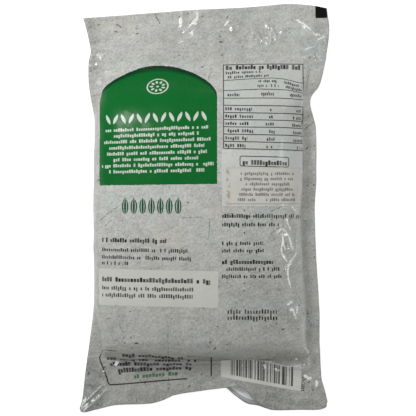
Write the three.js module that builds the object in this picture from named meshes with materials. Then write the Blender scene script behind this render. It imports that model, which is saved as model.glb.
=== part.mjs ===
// A sealed film bag of frozen ivy gourds, lying on its front panel with its back panel up.
// Millimetres, +Z up. +Y runs from the gusset to the header. The origin is on the surface that the
// bag lies on, under the middle of the bag.
import * as THREE from "three";

// Driving dimensions.
const FILM_THICKNESS = 0.8; // drawn thicker than the real 0.12 mm laminate
const STRIP_THICKNESS = 0.6; // gusset film, label and zip flanges, also thicker than life
const GAP = 0.3; // left between films that are sealed or lie on each other
const SEAL_WIDTH = 9.5; // side seals
const HEADER_SEAL = [105, 116.5]; // the heat seal across the header
const PILLOW = {
  top: 97, // the filled part runs from here
  end: -101, // to here
  rise: 22.5, // the back film above the side seals, over the contents
  drop: 6, // how hard the front film is pressed past the surface that it lies on
  backSlope: 52, // the slope between the zip and the full height, on the back film
  frontSlope: 40, // and on the front film
  endSlope: 25, // the slope between the full height and the gusset
};
const ZIP = { y: 100, width: 9, space: 1.5 }; // space is how far it holds each film off the middle
const GUSSET = { foldY: -99, space: 1.15 };
const MOUTH = { x: 24, halfWidth: 15, lift: 5.5 }; // where the back film stands off the gusset
const FLAP_SPACE = 0.7; // half the space between the header flaps at their top
const LABEL = { x: [14.7, 64], y: [2.9, 27.2] };
const GOURD = { radius: 8.3, leastRadius: 6.8, lengths: [43, 43, 43, 37], spread: 3, gap: 0.6 };
const GOURD_PITCH = 19;
const GOURD_ROWS_Y = [-71, -26, 19, 60];
const GOURD_MIDDLE_X = -3;
const SEED = 340;

// How the side seals lean, in degrees. Each lean fades out along its top and foot stretches.
const LEFT_LEAN = { angle: 80, top: [93, 58], foot: [-112, -60] };
const RIGHT_LEAN = { angle: 12, top: [95, 84], foot: [-124, -100] };
const PINCH = { y: 71.8, halfLength: 9, angle: 46 }; // the right seal is pinched down further here

// Waves across the loose films, each growing along its stretch.
const HEADER_WAVE = { height: 0.9, length: 21, start: 0.6, stretch: [117, 136] };
const FOOT_WAVE = { height: 0.5, length: 13, start: 1.1, stretch: [-108, -128] };

// Outlines seen from above, each a list of [along, across] pairs.
const LEFT_EDGE = [
  [-135.7, -84.5], [-129.6, -82.7], [-110.7, -80.6], [-89.1, -77.5], [-62, -74.9], [-11.3, -75.1],
  [39.4, -74.7], [59.7, -74.2], [71.2, -76.2], [84, -78.1], [98.9, -78.1], [105, -76.7],
  [109.7, -77.2], [121.9, -80], [128.6, -82],
];
const RIGHT_EDGE = [
  [-131, 83.6], [-122.9, 81.6], [-114.8, 79.4], [-89.1, 78.2], [-68.8, 77.9], [-48.5, 76.7],
  [-28.2, 75.5], [-1.2, 74.7], [19.1, 75.7], [54.3, 75.5], [63, 73.5], [69.8, 72.1], [75.9, 72.8],
  [82.6, 77.5], [91.4, 80.2], [102.2, 82.3], [121.2, 84.5], [135.5, 82.9],
];
const TOP_EDGE = [
  [-82, 128.6], [-16.4, 133.7], [24.1, 135.7], [44.4, 137.3], [54.6, 138.3], [64.7, 138.1],
  [74.8, 137.1], [82.9, 135.5],
];
const BOTTOM_LEFT = [
  [-84.5, -135.7], [-82.7, -138.3], [-73.9, -136.6], [-60.4, -133.5], [-36.7, -132.5],
  [-27.9, -130.2], [-19.8, -126.6], [-2.9, -123.9], [13.7, -121.5],
];
const BOTTOM_RIGHT = [
  [45.8, -136.7], [64.7, -136.7], [78.9, -136.4], [81.9, -134.4], [83.6, -131],
];
// The back film's edge stands back from the front film's here, and the gusset shows between them.
const MOUTH_BACK = [[20.8, -120.5], [26.8, -121.5], [32.2, -128.3], [40.4, -134.4]];
const MOUTH_FRONT = [[20.1, -126.4], [28.7, -132.3], [36.3, -133.9]];

// Heights of the outer edges of the side seals, as [along, height] pairs.
const LEFT_SEAL_HEIGHT = [
  [-136, 2.5], [-100, 3.4], [-60, 2.6], [0, 2.6], [60, 3.2], [95, 8.6], [105, 8.4], [129, 4],
];
const RIGHT_SEAL_HEIGHT = [
  [-131, 2.6], [-100, 3.6], [-60, 7], [0, 7.5], [48, 7.2], [70, 5], [95, 8.6], [105, 8.4], [136, 5],
];

// Numbers and curves.
const clamp = (x, low, high) => Math.min(high, Math.max(low, x));
const mix = (a, b, t) => a + (b - a) * t;
const hump = (x, middle, halfWidth) => Math.exp(-(((x - middle) / halfWidth) ** 2));

// Smooth step from 0 at a to 1 at b.
function ramp(a, b, x) {
  const t = clamp((x - a) / (b - a), 0, 1);
  return t * t * (3 - 2 * t);
}

// A smooth curve through [at, value] points, held flat past its ends.
function through(points) {
  const slopes = points.map((_, i) => {
    const [a, b] = [points[Math.max(i - 1, 0)], points[Math.min(i + 1, points.length - 1)]];
    return (b[1] - a[1]) / (b[0] - a[0]);
  });
  return (x) => {
    const at = clamp(x, points[0][0], points[points.length - 1][0]);
    let i = 0;
    while (i < points.length - 2 && at > points[i + 1][0]) i += 1;
    const step = points[i + 1][0] - points[i][0];
    const t = (at - points[i][0]) / step;
    const [t2, t3] = [t * t, t * t * t];
    return (
      (2 * t3 - 3 * t2 + 1) * points[i][1] +
      (t3 - 2 * t2 + t) * step * slopes[i] +
      (3 * t2 - 2 * t3) * points[i + 1][1] +
      (t3 - t2) * step * slopes[i + 1]
    );
  };
}

const leftEdge = through(LEFT_EDGE);
const rightEdge = through(RIGHT_EDGE);
const topEdge = through(TOP_EDGE);
const backBottomEdge = through([...BOTTOM_LEFT, ...MOUTH_BACK, ...BOTTOM_RIGHT]);
const frontBottomEdge = through([...BOTTOM_LEFT, ...MOUTH_FRONT, ...BOTTOM_RIGHT]);
const leftSealHeight = through(LEFT_SEAL_HEIGHT);
const rightSealHeight = through(RIGHT_SEAL_HEIGHT);

// The parting surface lies half-way between the two films where they are sealed. Across the bag, q
// runs from -2 at the left edge to -1 at the left seal's inner line, 1 at the right seal's inner
// line and 2 at the right edge.

function sealLean({ top, foot }, angle, y) {
  return THREE.MathUtils.degToRad(angle) * ramp(...top, y) * ramp(...foot, y);
}

const wave = ({ height, length, start, stretch }, x, y) =>
  height * Math.sin(x / length + start) * ramp(...stretch, y);

function parting(q, y) {
  const leanLeft = sealLean(LEFT_LEAN, LEFT_LEAN.angle, y);
  const pinch = PINCH.angle * hump(y, PINCH.y, PINCH.halfLength);
  const leanRight = sealLean(RIGHT_LEAN, RIGHT_LEAN.angle + pinch, y);
  const outset = FILM_THICKNESS + GAP / 2;
  const left = { x: leftEdge(y) + outset * Math.sin(leanLeft), z: leftSealHeight(y) };
  const right = { x: rightEdge(y) - outset * Math.sin(leanRight), z: rightSealHeight(y) };
  const leftLine = {
    x: left.x + SEAL_WIDTH * Math.cos(leanLeft),
    z: left.z + SEAL_WIDTH * Math.sin(leanLeft),
  };
  const rightLine = {
    x: right.x - SEAL_WIDTH * Math.cos(leanRight),
    z: right.z + SEAL_WIDTH * Math.sin(leanRight),
  };
  let [a, b, t] = [leftLine, rightLine, (q + 1) / 2];
  if (q < -1) [a, b, t] = [left, leftLine, q + 2];
  if (q > 1) [a, b, t] = [rightLine, right, q - 1];
  const x = mix(a.x, b.x, t);
  return { x, z: mix(a.z, b.z, t) + wave(HEADER_WAVE, x, y) + wave(FOOT_WAVE, x, y) };
}

// Half of the space between the films: the zip and the folded gusset lie in it, the back film
// lifts off at the gusset's mouth, and the header flaps part a little at the top.
function halfSpace(q, y, side) {
  const { x } = parting(q, y);
  const zip = ZIP.space * ramp(108, 104.8, y) * ramp(92, 95.2, y);
  const gusset = GUSSET.space * ramp(GUSSET.foldY + 7, GUSSET.foldY + 1.5, y);
  const mouth = MOUTH.lift * hump(x, MOUTH.x, MOUTH.halfWidth) * ramp(-106, -126, y);
  const flaps = FLAP_SPACE * ramp(118, 136, y);
  return GAP / 2 + zip + gusset + (side > 0 ? mouth : 0) + flaps;
}

// The point of the parting surface at q and y, moved by offset at right angles to it.
function beside(q, y, offset) {
  const STEP = 0.02;
  const [here, before, after] = [parting(q, y), parting(q - STEP, y), parting(q + STEP, y)];
  const [dx, dz] = [after.x - before.x, after.z - before.z];
  const length = Math.hypot(dx, dz);
  return new THREE.Vector3(here.x - (dz / length) * offset, y, here.z + (dx / length) * offset);
}

// How full the bag is across, from 0 at the seals' inner lines to 1 in the middle: a box with
// rounded shoulders, with a little of an arch. The right shoulder is the squarer one.
function crownAcross(q) {
  const ARCH = 0.12;
  const t = Math.min(Math.abs(q), 1);
  const squareness = q > 0 ? 8 : 6;
  return (1 - ARCH) * (1 - t ** squareness) ** 0.45 + ARCH * (1 - t * t);
}

// How full it is along: the film leaves the zip gently and drops to the gusset steeply.
function crownAlong(y, topSlope) {
  const fromTop = clamp((PILLOW.top - y) / topSlope, 0, 1);
  const fromEnd = clamp((y - PILLOW.end) / PILLOW.endSlope, 0, 1);
  return Math.sin((Math.PI / 2) * fromTop) ** 1.1 * Math.sin((Math.PI / 2) * fromEnd) ** 0.9;
}

// The outer face of the back film (side 1) or the front film (side -1).
function filmFace(q, y, side) {
  const point = beside(q, y, side * (halfSpace(q, y, side) + FILM_THICKNESS));
  if (side > 0) {
    point.z += PILLOW.rise * crownAcross(q) * crownAlong(y, PILLOW.backSlope);
  } else {
    point.z -= (point.z + PILLOW.drop) * crownAcross(q) * crownAlong(y, PILLOW.frontSlope);
    point.z = Math.max(0, point.z);
  }
  return point;
}

// The upward normal of a film's outer face.
function filmNormal(q, y, side) {
  const STEP = 0.01;
  const [left, right] = [Math.max(q - STEP, -2), Math.min(q + STEP, 2)];
  const across = filmFace(right, y, side).sub(filmFace(left, y, side));
  const along = filmFace(q, y + STEP, side).sub(filmFace(q, y - STEP, side));
  return across.cross(along).normalize();
}

// The point at a depth inside a film's outer face; a negative depth is outside it.
function filmLayer(q, y, side, depth) {
  return filmFace(q, y, side).addScaledVector(filmNormal(q, y, side), -side * depth);
}

// Closed solids.

// A closed sheet between two grids of points with the same rows and columns. Seen from the outer
// grid's side, columns run to the right and rows away.
function sheetSolid(outer, inner) {
  const [rows, columns] = [outer.length, outer[0].length];
  const [lastRow, lastColumn] = [rows - 1, columns - 1];
  const positions = [...outer.flat(), ...inner.flat()].flatMap((p) => [p.x, p.y, p.z]);
  const at = (layer, i, j) => layer * rows * columns + i * columns + j;
  const index = [];
  const quad = (a, b, c, d) => index.push(a, b, c, a, c, d);
  for (let i = 0; i < lastRow; i += 1) {
    for (let j = 0; j < lastColumn; j += 1) {
      quad(at(0, i, j), at(0, i, j + 1), at(0, i + 1, j + 1), at(0, i + 1, j));
      index.push(at(1, i, j), at(1, i + 1, j + 1), at(1, i, j + 1));
      index.push(at(1, i, j), at(1, i + 1, j), at(1, i + 1, j + 1));
    }
  }
  for (let j = 0; j < lastColumn; j += 1) {
    quad(at(1, 0, j), at(1, 0, j + 1), at(0, 0, j + 1), at(0, 0, j));
    quad(at(0, lastRow, j), at(0, lastRow, j + 1), at(1, lastRow, j + 1), at(1, lastRow, j));
  }
  for (let i = 0; i < lastRow; i += 1) {
    const [here, next] = [i, i + 1];
    quad(at(0, here, 0), at(0, next, 0), at(1, next, 0), at(1, here, 0));
    quad(
      at(1, here, lastColumn),
      at(1, next, lastColumn),
      at(0, next, lastColumn),
      at(0, here, lastColumn),
    );
  }
  const geometry = new THREE.BufferGeometry();
  geometry.setAttribute("position", new THREE.Float32BufferAttribute(positions, 3));
  geometry.setIndex(index);
  geometry.computeVertexNormals();
  return geometry;
}

// Columns across the filled part, closer together near the seals.
const PILLOW_COLUMNS = Array.from({ length: 17 }, (_, i) => {
  const s = i / 8 - 1;
  return Math.sign(s) * (1 - (1 - Math.abs(s)) ** 1.7);
});
const COLUMNS = [-2, -1.85, -1.4, ...PILLOW_COLUMNS, 1.4, 1.8, 2];

// Rows along a film: shares of the way from its bottom edge to the gusset's fold, then fixed
// heights, then shares of the way from the header seal to the top edge.
const FOOT_SHARES = [0, 0.18, 0.36, 0.54, 0.72, 0.88];
const BODY_ROWS = [
  -99, -95, -90, -83, -74, -62, -48, -34, -20, -6, 8, 22, 36, 48, 58, 68, 78, 87, 92,
];
const HEADER_ROWS = [95.2, 104.8, 108, HEADER_SEAL[1]];
const FLAP_SHARES = [0.5, 1];
const NEAR_FOOT_Y = -125;
const NEAR_TOP_Y = 130;

// The height that is a share of the way from an outline to a fixed height, on the column at q. The
// column's x changes with the height, so the height is found in a few steps.
function heightFromOutline(q, outline, share, fixed, start) {
  let y = start;
  for (let i = 0; i < 6; i += 1) {
    y = mix(outline(parting(q, y).x), fixed, share);
  }
  return y;
}

function rowHeights(q, bottomEdge) {
  const foot = (share) => heightFromOutline(q, bottomEdge, share, GUSSET.foldY, NEAR_FOOT_Y);
  const flap = (share) => heightFromOutline(q, topEdge, 1 - share, HEADER_SEAL[1], NEAR_TOP_Y);
  return [...FOOT_SHARES.map(foot), ...BODY_ROWS, ...HEADER_ROWS, ...FLAP_SHARES.map(flap)];
}

// One of the two printed films.
function filmPanel(side, bottomEdge) {
  const heights = COLUMNS.map((q) => rowHeights(q, bottomEdge));
  const grid = (depth) =>
    heights[0].map((_, row) =>
      COLUMNS.map((q, column) => filmLayer(q, heights[column][row], side, depth)),
    );
  const [outer, inner] = [grid(0), grid(FILM_THICKNESS)];
  return side > 0 ? sheetSolid(outer, inner) : sheetSolid(inner, outer);
}

// The white film folded between the panels at the bottom: a back leg up to the fold and a front leg
// down again, each beside its panel.
function bottomGusset() {
  const EDGE_INSET = 0.6;
  const FOLD_ROUND = 1.1;
  const ENDS = 1.92;
  const LEG_SHARES = [0, 0.2, 0.4, 0.6, 0.8, 0.93, 1];
  const leg = (q, side, bottomEdge, depth) => {
    const foot = bottomEdge(parting(q, NEAR_FOOT_Y).x) + EDGE_INSET;
    return LEG_SHARES.map((share) => {
      const y = mix(foot, GUSSET.foldY - FOLD_ROUND, share);
      const onPanel = filmLayer(q, y, side, FILM_THICKNESS + GAP + depth);
      const atFold = beside(q, y, side * (GAP / 2 + STRIP_THICKNESS + 0.1 - depth));
      return onPanel.lerp(atFold, ramp(GUSSET.foldY - 14, GUSSET.foldY - 2, y));
    });
  };
  const column = (q, depth) => [
    ...leg(q, 1, backBottomEdge, depth),
    beside(q, GUSSET.foldY - depth, 0),
    ...leg(q, -1, frontBottomEdge, depth).reverse(),
  ];
  const grid = (depth) => {
    const lines = COLUMNS.map((q) => column(clamp(q, -ENDS, ENDS), depth));
    return lines[0].map((_, row) => lines.map((line) => line[row]));
  };
  return sheetSolid(grid(0), grid(STRIP_THICKNESS));
}

// One half of the press-to-close zip. ridges gives [from, to] bands along y that stand up by
// RIDGE between the flanges; they are crushed flat in the side seals.
function zipTrack(side, ridges) {
  const RIDGE = 1.2;
  const WALL = 0.05;
  const ENDS = 1.9;
  const bands = ridges.flatMap(([from, to]) => [from - WALL, from, to, to + WALL]);
  const rows = [-ZIP.width / 2, ...bands, ZIP.width / 2];
  const stands = (v) => ridges.some(([from, to]) => v >= from && v <= to);
  const columns = COLUMNS.map((q) => clamp(q, -ENDS, ENDS));
  const reach = halfSpace(0, ZIP.y, side) - GAP;
  const grid = (inside) =>
    rows.map((v) =>
      columns.map((q) => {
        const ridge = stands(v) ? RIDGE * (1 - ramp(1, 1.5, Math.abs(q))) : 0;
        const offset = inside ? reach - STRIP_THICKNESS - ridge : reach;
        return beside(q, ZIP.y + v, side * offset);
      }),
    );
  return side > 0 ? sheetSolid(grid(false), grid(true)) : sheetSolid(grid(true), grid(false));
}

// The q at which the back film lies at a place x seen from above.
function acrossAt(x, y) {
  let [low, high] = [-1, 1];
  for (let i = 0; i < 30; i += 1) {
    const middle = (low + high) / 2;
    if (filmFace(middle, y, 1).x < x) low = middle;
    else high = middle;
  }
  return (low + high) / 2;
}

// The stuck-on label, bent over the back film's shoulder, with its columns closer together there.
function paperLabel() {
  const [ACROSS, ALONG] = [16, 4];
  const grid = (height) =>
    Array.from({ length: ALONG + 1 }, (_, i) => {
      const y = mix(...LABEL.y, i / ALONG);
      return Array.from({ length: ACROSS + 1 }, (__, j) => {
        const x = mix(...LABEL.x, 1 - (1 - j / ACROSS) ** 1.7);
        return filmLayer(acrossAt(x, y), y, 1, -height);
      });
    });
  return sheetSolid(grid(GAP + STRIP_THICKNESS), grid(GAP));
}

// Gourds.

// Seeded random numbers from 0 to 1.
function seededRandom(seed) {
  let state = seed;
  return () => {
    state = (state * 1664525 + 1013904223) % 4294967296;
    return state / 4294967296;
  };
}

// The thickness of a gourd at a share s of its length: blunt at both ends, and a little thinner
// towards the stem.
function gourdRadius(s, radius) {
  return radius * Math.sqrt(1 - Math.abs(2 * s - 1) ** 2.5) * mix(0.92, 1, ramp(0, 0.5, s));
}

// A gourd lying along Y, with its stem end towards -Y.
function gourdGeometry(radius, length) {
  const PROFILE_STEPS = 6;
  const SIDES = 8;
  const profile = Array.from({ length: PROFILE_STEPS + 1 }, (_, i) => {
    const s = (1 - Math.cos((Math.PI * i) / PROFILE_STEPS)) / 2;
    const onAxis = i === 0 || i === PROFILE_STEPS;
    return new THREE.Vector2(onAxis ? 0 : gourdRadius(s, radius), (s - 0.5) * length);
  });
  return new THREE.LatheGeometry(profile, SIDES);
}

// Whether a gourd has room between the films, tried along its length and across it.
function hasRoom(x, y, z, radius, length) {
  const MARGIN = 0.7;
  const LEAST_UNDER = MARGIN - GAP;
  const ALONG = [0.04, 0.15, 0.3, 0.5, 0.7, 0.85, 0.96];
  const ACROSS = [-0.9, -0.5, 0, 0.5, 0.9];
  return ALONG.every((s) => {
    const at = y + (s - 0.5) * length;
    const r = gourdRadius(s, radius) + MARGIN;
    return ACROSS.every((side) => {
      const q = acrossAt(x + side * r, at);
      const half = r * Math.sqrt(1 - side * side);
      const roof = filmFace(q, at, 1).z - FILM_THICKNESS;
      const floor = filmFace(q, at, -1).z + FILM_THICKNESS;
      return z + half < roof && z - half > floor - LEAST_UNDER;
    });
  });
}

// Two layers of gourds: a lower one side by side, and an upper one in its grooves. A gourd is as
// thick as the films leave room for, and is left out where that is too thin.
function gourds() {
  const THINNER = 0.25;
  const random = seededRandom(SEED);
  const around = (spread) => (random() - 0.5) * spread;
  const floor = FILM_THICKNESS + GAP;
  const inGroove = (radius) => {
    const reach = GOURD.radius + radius + GOURD.gap;
    return floor + GOURD.radius + Math.sqrt(reach ** 2 - (GOURD_PITCH / 2) ** 2);
  };
  const layers = [
    { count: 7, height: (radius) => floor + radius },
    { count: 6, height: inGroove },
  ];
  const found = [];
  layers.forEach(({ count, height }) => {
    GOURD_ROWS_Y.forEach((rowY, row) => {
      for (let i = 0; i < count; i += 1) {
        const x = GOURD_MIDDLE_X + (i - (count - 1) / 2) * GOURD_PITCH;
        const y = rowY + around(1.2);
        const length = GOURD.lengths[row] - random() * GOURD.spread;
        const turn = around(THREE.MathUtils.degToRad(2.4));
        const roll = random() * Math.PI * 2;
        let radius = GOURD.radius;
        while (radius >= GOURD.leastRadius && !hasRoom(x, y, height(radius), radius, length)) {
          radius -= THINNER;
        }
        if (radius >= GOURD.leastRadius) {
          found.push({ x, y, z: height(radius), radius, length, turn, roll });
        }
      }
    });
  });
  return found;
}

// Materials.
const finish = (color, roughness) =>
  new THREE.MeshStandardMaterial({ color, roughness, metalness: 0 });
const PRINTED_FILM = finish(0xb4b6b0, 0.4);
const WHITE_FILM = finish(0xd4d6d8, 0.35);
const ZIP_PLASTIC = finish(0xe4e6e6, 0.3);
const LABEL_PAPER = finish(0xc8c7c0, 0.8);
const GOURD_SKIN = finish(0x5f8a46, 0.55);

// The bag.
const bag = new THREE.Group();

function add(name, geometry, material) {
  const mesh = new THREE.Mesh(geometry, material);
  mesh.name = name;
  bag.add(mesh);
  return mesh;
}

add("back_panel", filmPanel(1, backBottomEdge), PRINTED_FILM);
add("front_panel", filmPanel(-1, frontBottomEdge), PRINTED_FILM);
add("bottom_gusset", bottomGusset(), WHITE_FILM);
add("zip_track_back", zipTrack(1, [[-0.6, 0.6]]), ZIP_PLASTIC);
add("zip_track_front", zipTrack(-1, [[-1.6, -1], [1, 1.6]]), ZIP_PLASTIC);
add("paper_label", paperLabel(), LABEL_PAPER);
gourds().forEach(({ x, y, z, radius, length, turn, roll }, i) => {
  const name = `gourd_${String(i + 1).padStart(2, "0")}`;
  const mesh = add(name, gourdGeometry(radius, length), GOURD_SKIN);
  mesh.position.set(x, y, z);
  mesh.rotation.set(0, roll, turn, "ZYX");
});

export default bag;
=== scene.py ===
"""A sealed film bag of frozen ivy gourds, lying on its front film and seen from straight above.

The frame gives the pieces' places. This script dresses them: the two printed films with their
creases and print, the folded white film at the foot, the zip, the stuck-on label and the gourds.
Shapes are worked out in millimetres and handed to Blender in metres.
"""

import logging
import math
from dataclasses import dataclass
from enum import Enum
from typing import Callable, Sequence

import bpy
import numpy as np
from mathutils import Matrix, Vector


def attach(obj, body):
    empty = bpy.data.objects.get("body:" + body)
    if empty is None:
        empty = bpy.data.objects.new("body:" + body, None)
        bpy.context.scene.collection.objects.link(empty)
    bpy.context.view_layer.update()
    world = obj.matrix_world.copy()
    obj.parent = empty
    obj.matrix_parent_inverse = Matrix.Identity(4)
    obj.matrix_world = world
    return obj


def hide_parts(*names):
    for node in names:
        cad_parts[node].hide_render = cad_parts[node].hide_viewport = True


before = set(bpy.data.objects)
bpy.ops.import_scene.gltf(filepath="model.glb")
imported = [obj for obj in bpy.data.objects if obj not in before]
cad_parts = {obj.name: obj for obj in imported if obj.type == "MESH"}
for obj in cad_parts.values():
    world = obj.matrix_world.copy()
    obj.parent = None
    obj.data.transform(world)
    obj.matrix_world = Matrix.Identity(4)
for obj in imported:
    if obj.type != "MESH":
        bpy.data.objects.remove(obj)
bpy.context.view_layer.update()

log = logging.getLogger("bag")

MM = 0.001
Point = tuple[float, float]
Path = tuple[Point, ...]
Array = np.ndarray
Piece = bpy.types.Object
Material = bpy.types.Material
Tree = bpy.types.NodeTree


class Side(Enum):
    """The two printed films. The bag lies on the front one."""

    BACK = 1
    FRONT = -1


# Outlines seen from above, as (along, across) points in millimetres.
LEFT_EDGE: Path = (
    (-135.7, -84.5), (-129.6, -82.7), (-110.7, -80.6), (-89.1, -77.5), (-62, -74.9),
    (-11.3, -75.1), (39.4, -74.7), (59.7, -74.2), (71.2, -76.2), (84, -78.1), (98.9, -78.1),
    (105, -76.7), (109.7, -77.2), (121.9, -80), (128.6, -82),
)
RIGHT_EDGE: Path = (
    (-131, 83.6), (-122.9, 81.6), (-114.8, 79.4), (-89.1, 78.2), (-68.8, 77.9), (-48.5, 76.7),
    (-28.2, 75.5), (-1.2, 74.7), (19.1, 75.7), (54.3, 75.5), (63, 73.5), (69.8, 72.1),
    (75.9, 72.8), (82.6, 77.5), (91.4, 80.2), (102.2, 82.3), (121.2, 84.5), (135.5, 82.9),
)
TOP_EDGE: Path = (
    (-82, 128.6), (-16.4, 133.7), (24.1, 135.7), (44.4, 137.3), (54.6, 138.3), (64.7, 138.1),
    (74.8, 137.1), (82.9, 135.5),
)
BOTTOM_LEFT: Path = (
    (-84.5, -135.7), (-82.7, -138.3), (-73.9, -136.6), (-60.4, -133.5), (-36.7, -132.5),
    (-27.9, -130.2), (-19.8, -126.6), (-2.9, -123.9), (13.7, -121.5),
)
BOTTOM_RIGHT: Path = ((45.8, -136.7), (64.7, -136.7), (78.9, -136.4), (81.9, -134.4), (83.6, -131))
MOUTH_BACK: Path = ((20.8, -120.5), (26.8, -121.5), (32.2, -128.3), (40.4, -134.4))
MOUTH_FRONT: Path = ((20.1, -126.4), (28.7, -132.3), (36.3, -133.9))
LEFT_SEAL_HEIGHT: Path = (
    (-136, 2.5), (-100, 3.4), (-60, 2.6), (0, 2.6), (60, 3.2), (95, 8.6), (105, 8.4), (129, 4),
)
RIGHT_SEAL_HEIGHT: Path = (
    (-131, 2.6), (-100, 3.6), (-60, 7), (0, 7.5), (48, 7.2), (70, 5), (95, 8.6), (105, 8.4),
    (136, 5),
)

# How the print runs on the bent film. The slopes are of the left and the right column, as (along,
# slope) points. The pulls are at the foot, as (across, lift) points.
LEFT_COLUMN = -31.0
RIGHT_COLUMN = 12.0
LEFT_SLOPE: Path = ((-53, -0.02), (-30, -0.02), (0, 0), (16, 0.012), (55, 0.037), (97, 0.03))
RIGHT_SLOPE: Path = ((16, 0), (27, -0.02), (39, -0.022), (60, -0.012), (80, 0), (97, 0.014))
UPPER_PULL: Path = ((-75, 0), (-66, 0), (5, -5.7), (20, -3), (60, 0))
LOWER_PULL: Path = ((-75, 4.4), (-63, 4.4), (-13, 8.4), (5, 9.5), (11.3, 9.5), (62.7, 0), (80, -1))
UPRIGHT_LINES = (-70.5, 66.5)
UPRIGHT_FROM = 60.0
FOOT_TURN = 6.0
PULLS: tuple[tuple[Point, Point, float], ...] = (
    ((38, 85), (22, 9), 2.0),
    ((66, 84), (8, 9), -1.6),
    ((56, -106), (13, 8), -5.0),
)


def mix(a: Array, b: Array, t: Array) -> Array:
    """Goes from a to b as t goes from 0 to 1."""
    return a + (b - a) * t


def ramp(a: float, b: float, x: Array) -> Array:
    """Smooth step from 0 at a to 1 at b."""
    t = np.clip((x - a) / (b - a), 0, 1)
    return t * t * (3 - 2 * t)


def hump(x: Array, middle: float, half_width: float) -> Array:
    """A bell of height 1 at middle."""
    return np.exp(-(((x - middle) / half_width) ** 2))


def spaced(values: Array, length: Array, count: int) -> Array:
    """Picks a number of values with equal lengths between them."""
    reached = np.cumsum(length)
    return np.interp(np.linspace(reached[0], reached[-1], count), reached, values)


class Curve:
    """A smooth curve through (at, value) points, held flat past its ends."""

    def __init__(self, points: Sequence[Point]) -> None:
        """Finds the slopes.

        Args:
            points: The curve's points, in the order of at.
        """
        self.at, self.value = np.array(points, float).T
        last = len(points) - 1
        before = np.maximum(np.arange(last + 1) - 1, 0)
        after = np.minimum(np.arange(last + 1) + 1, last)
        run = self.at[after] - self.at[before]
        self.slope = (self.value[after] - self.value[before]) / run

    def __call__(self, x: Array) -> Array:
        """Gives the curve's value at x."""
        x = np.clip(x, self.at[0], self.at[-1])
        i = np.clip(np.searchsorted(self.at, x, side="left") - 1, 0, len(self.at) - 2)
        step = self.at[i + 1] - self.at[i]
        t = (x - self.at[i]) / step
        t2, t3 = t * t, t * t * t
        return (
            (2 * t3 - 3 * t2 + 1) * self.value[i]
            + (t3 - 2 * t2 + t) * step * self.slope[i]
            + (3 * t2 - 2 * t3) * self.value[i + 1]
            + (t3 - t2) * step * self.slope[i + 1]
        )


class Noise:
    """Smooth seeded noise from -1 to 1 on a lattice of cells."""

    SIZE = 64

    def __init__(self, seed: int, cell: Point) -> None:
        """Draws the lattice.

        Args:
            seed: Picks the pattern.
            cell: Width and height of a lattice cell, in millimetres.
        """
        self.lattice = np.random.default_rng(seed).uniform(-1, 1, (self.SIZE, self.SIZE))
        self.cell = cell

    def __call__(self, u: Array, v: Array) -> Array:
        """Gives the noise at the points u, v."""
        a, b = u / self.cell[0], v / self.cell[1]
        i, j = np.floor(a).astype(int), np.floor(b).astype(int)
        s, t = a - i, b - j
        s, t = s * s * (3 - 2 * s), t * t * (3 - 2 * t)
        low = mix(self.at(i, j), self.at(i + 1, j), s)
        high = mix(self.at(i, j + 1), self.at(i + 1, j + 1), s)
        return mix(low, high, t)

    def at(self, i: Array, j: Array) -> Array:
        """Gives the lattice's own values."""
        return self.lattice[i % self.SIZE, j % self.SIZE]


@dataclass(frozen=True)
class Lean:
    """How far a side seal leans down, in degrees, and where that fades out."""

    angle: float
    top: Point
    foot: Point

    def at(self, y: Array, extra: Array | float = 0.0) -> Array:
        """Gives the lean at y in radians, with some extra degrees."""
        return np.radians(self.angle + extra) * ramp(*self.top, y) * ramp(*self.foot, y)


@dataclass(frozen=True)
class Wave:
    """A slow wave across the loose film, growing along a stretch of y."""

    height: float
    length: float
    start: float
    stretch: Point

    def at(self, x: Array, y: Array) -> Array:
        """Gives the wave's height."""
        return self.height * np.sin(x / self.length + self.start) * ramp(*self.stretch, y)


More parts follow.
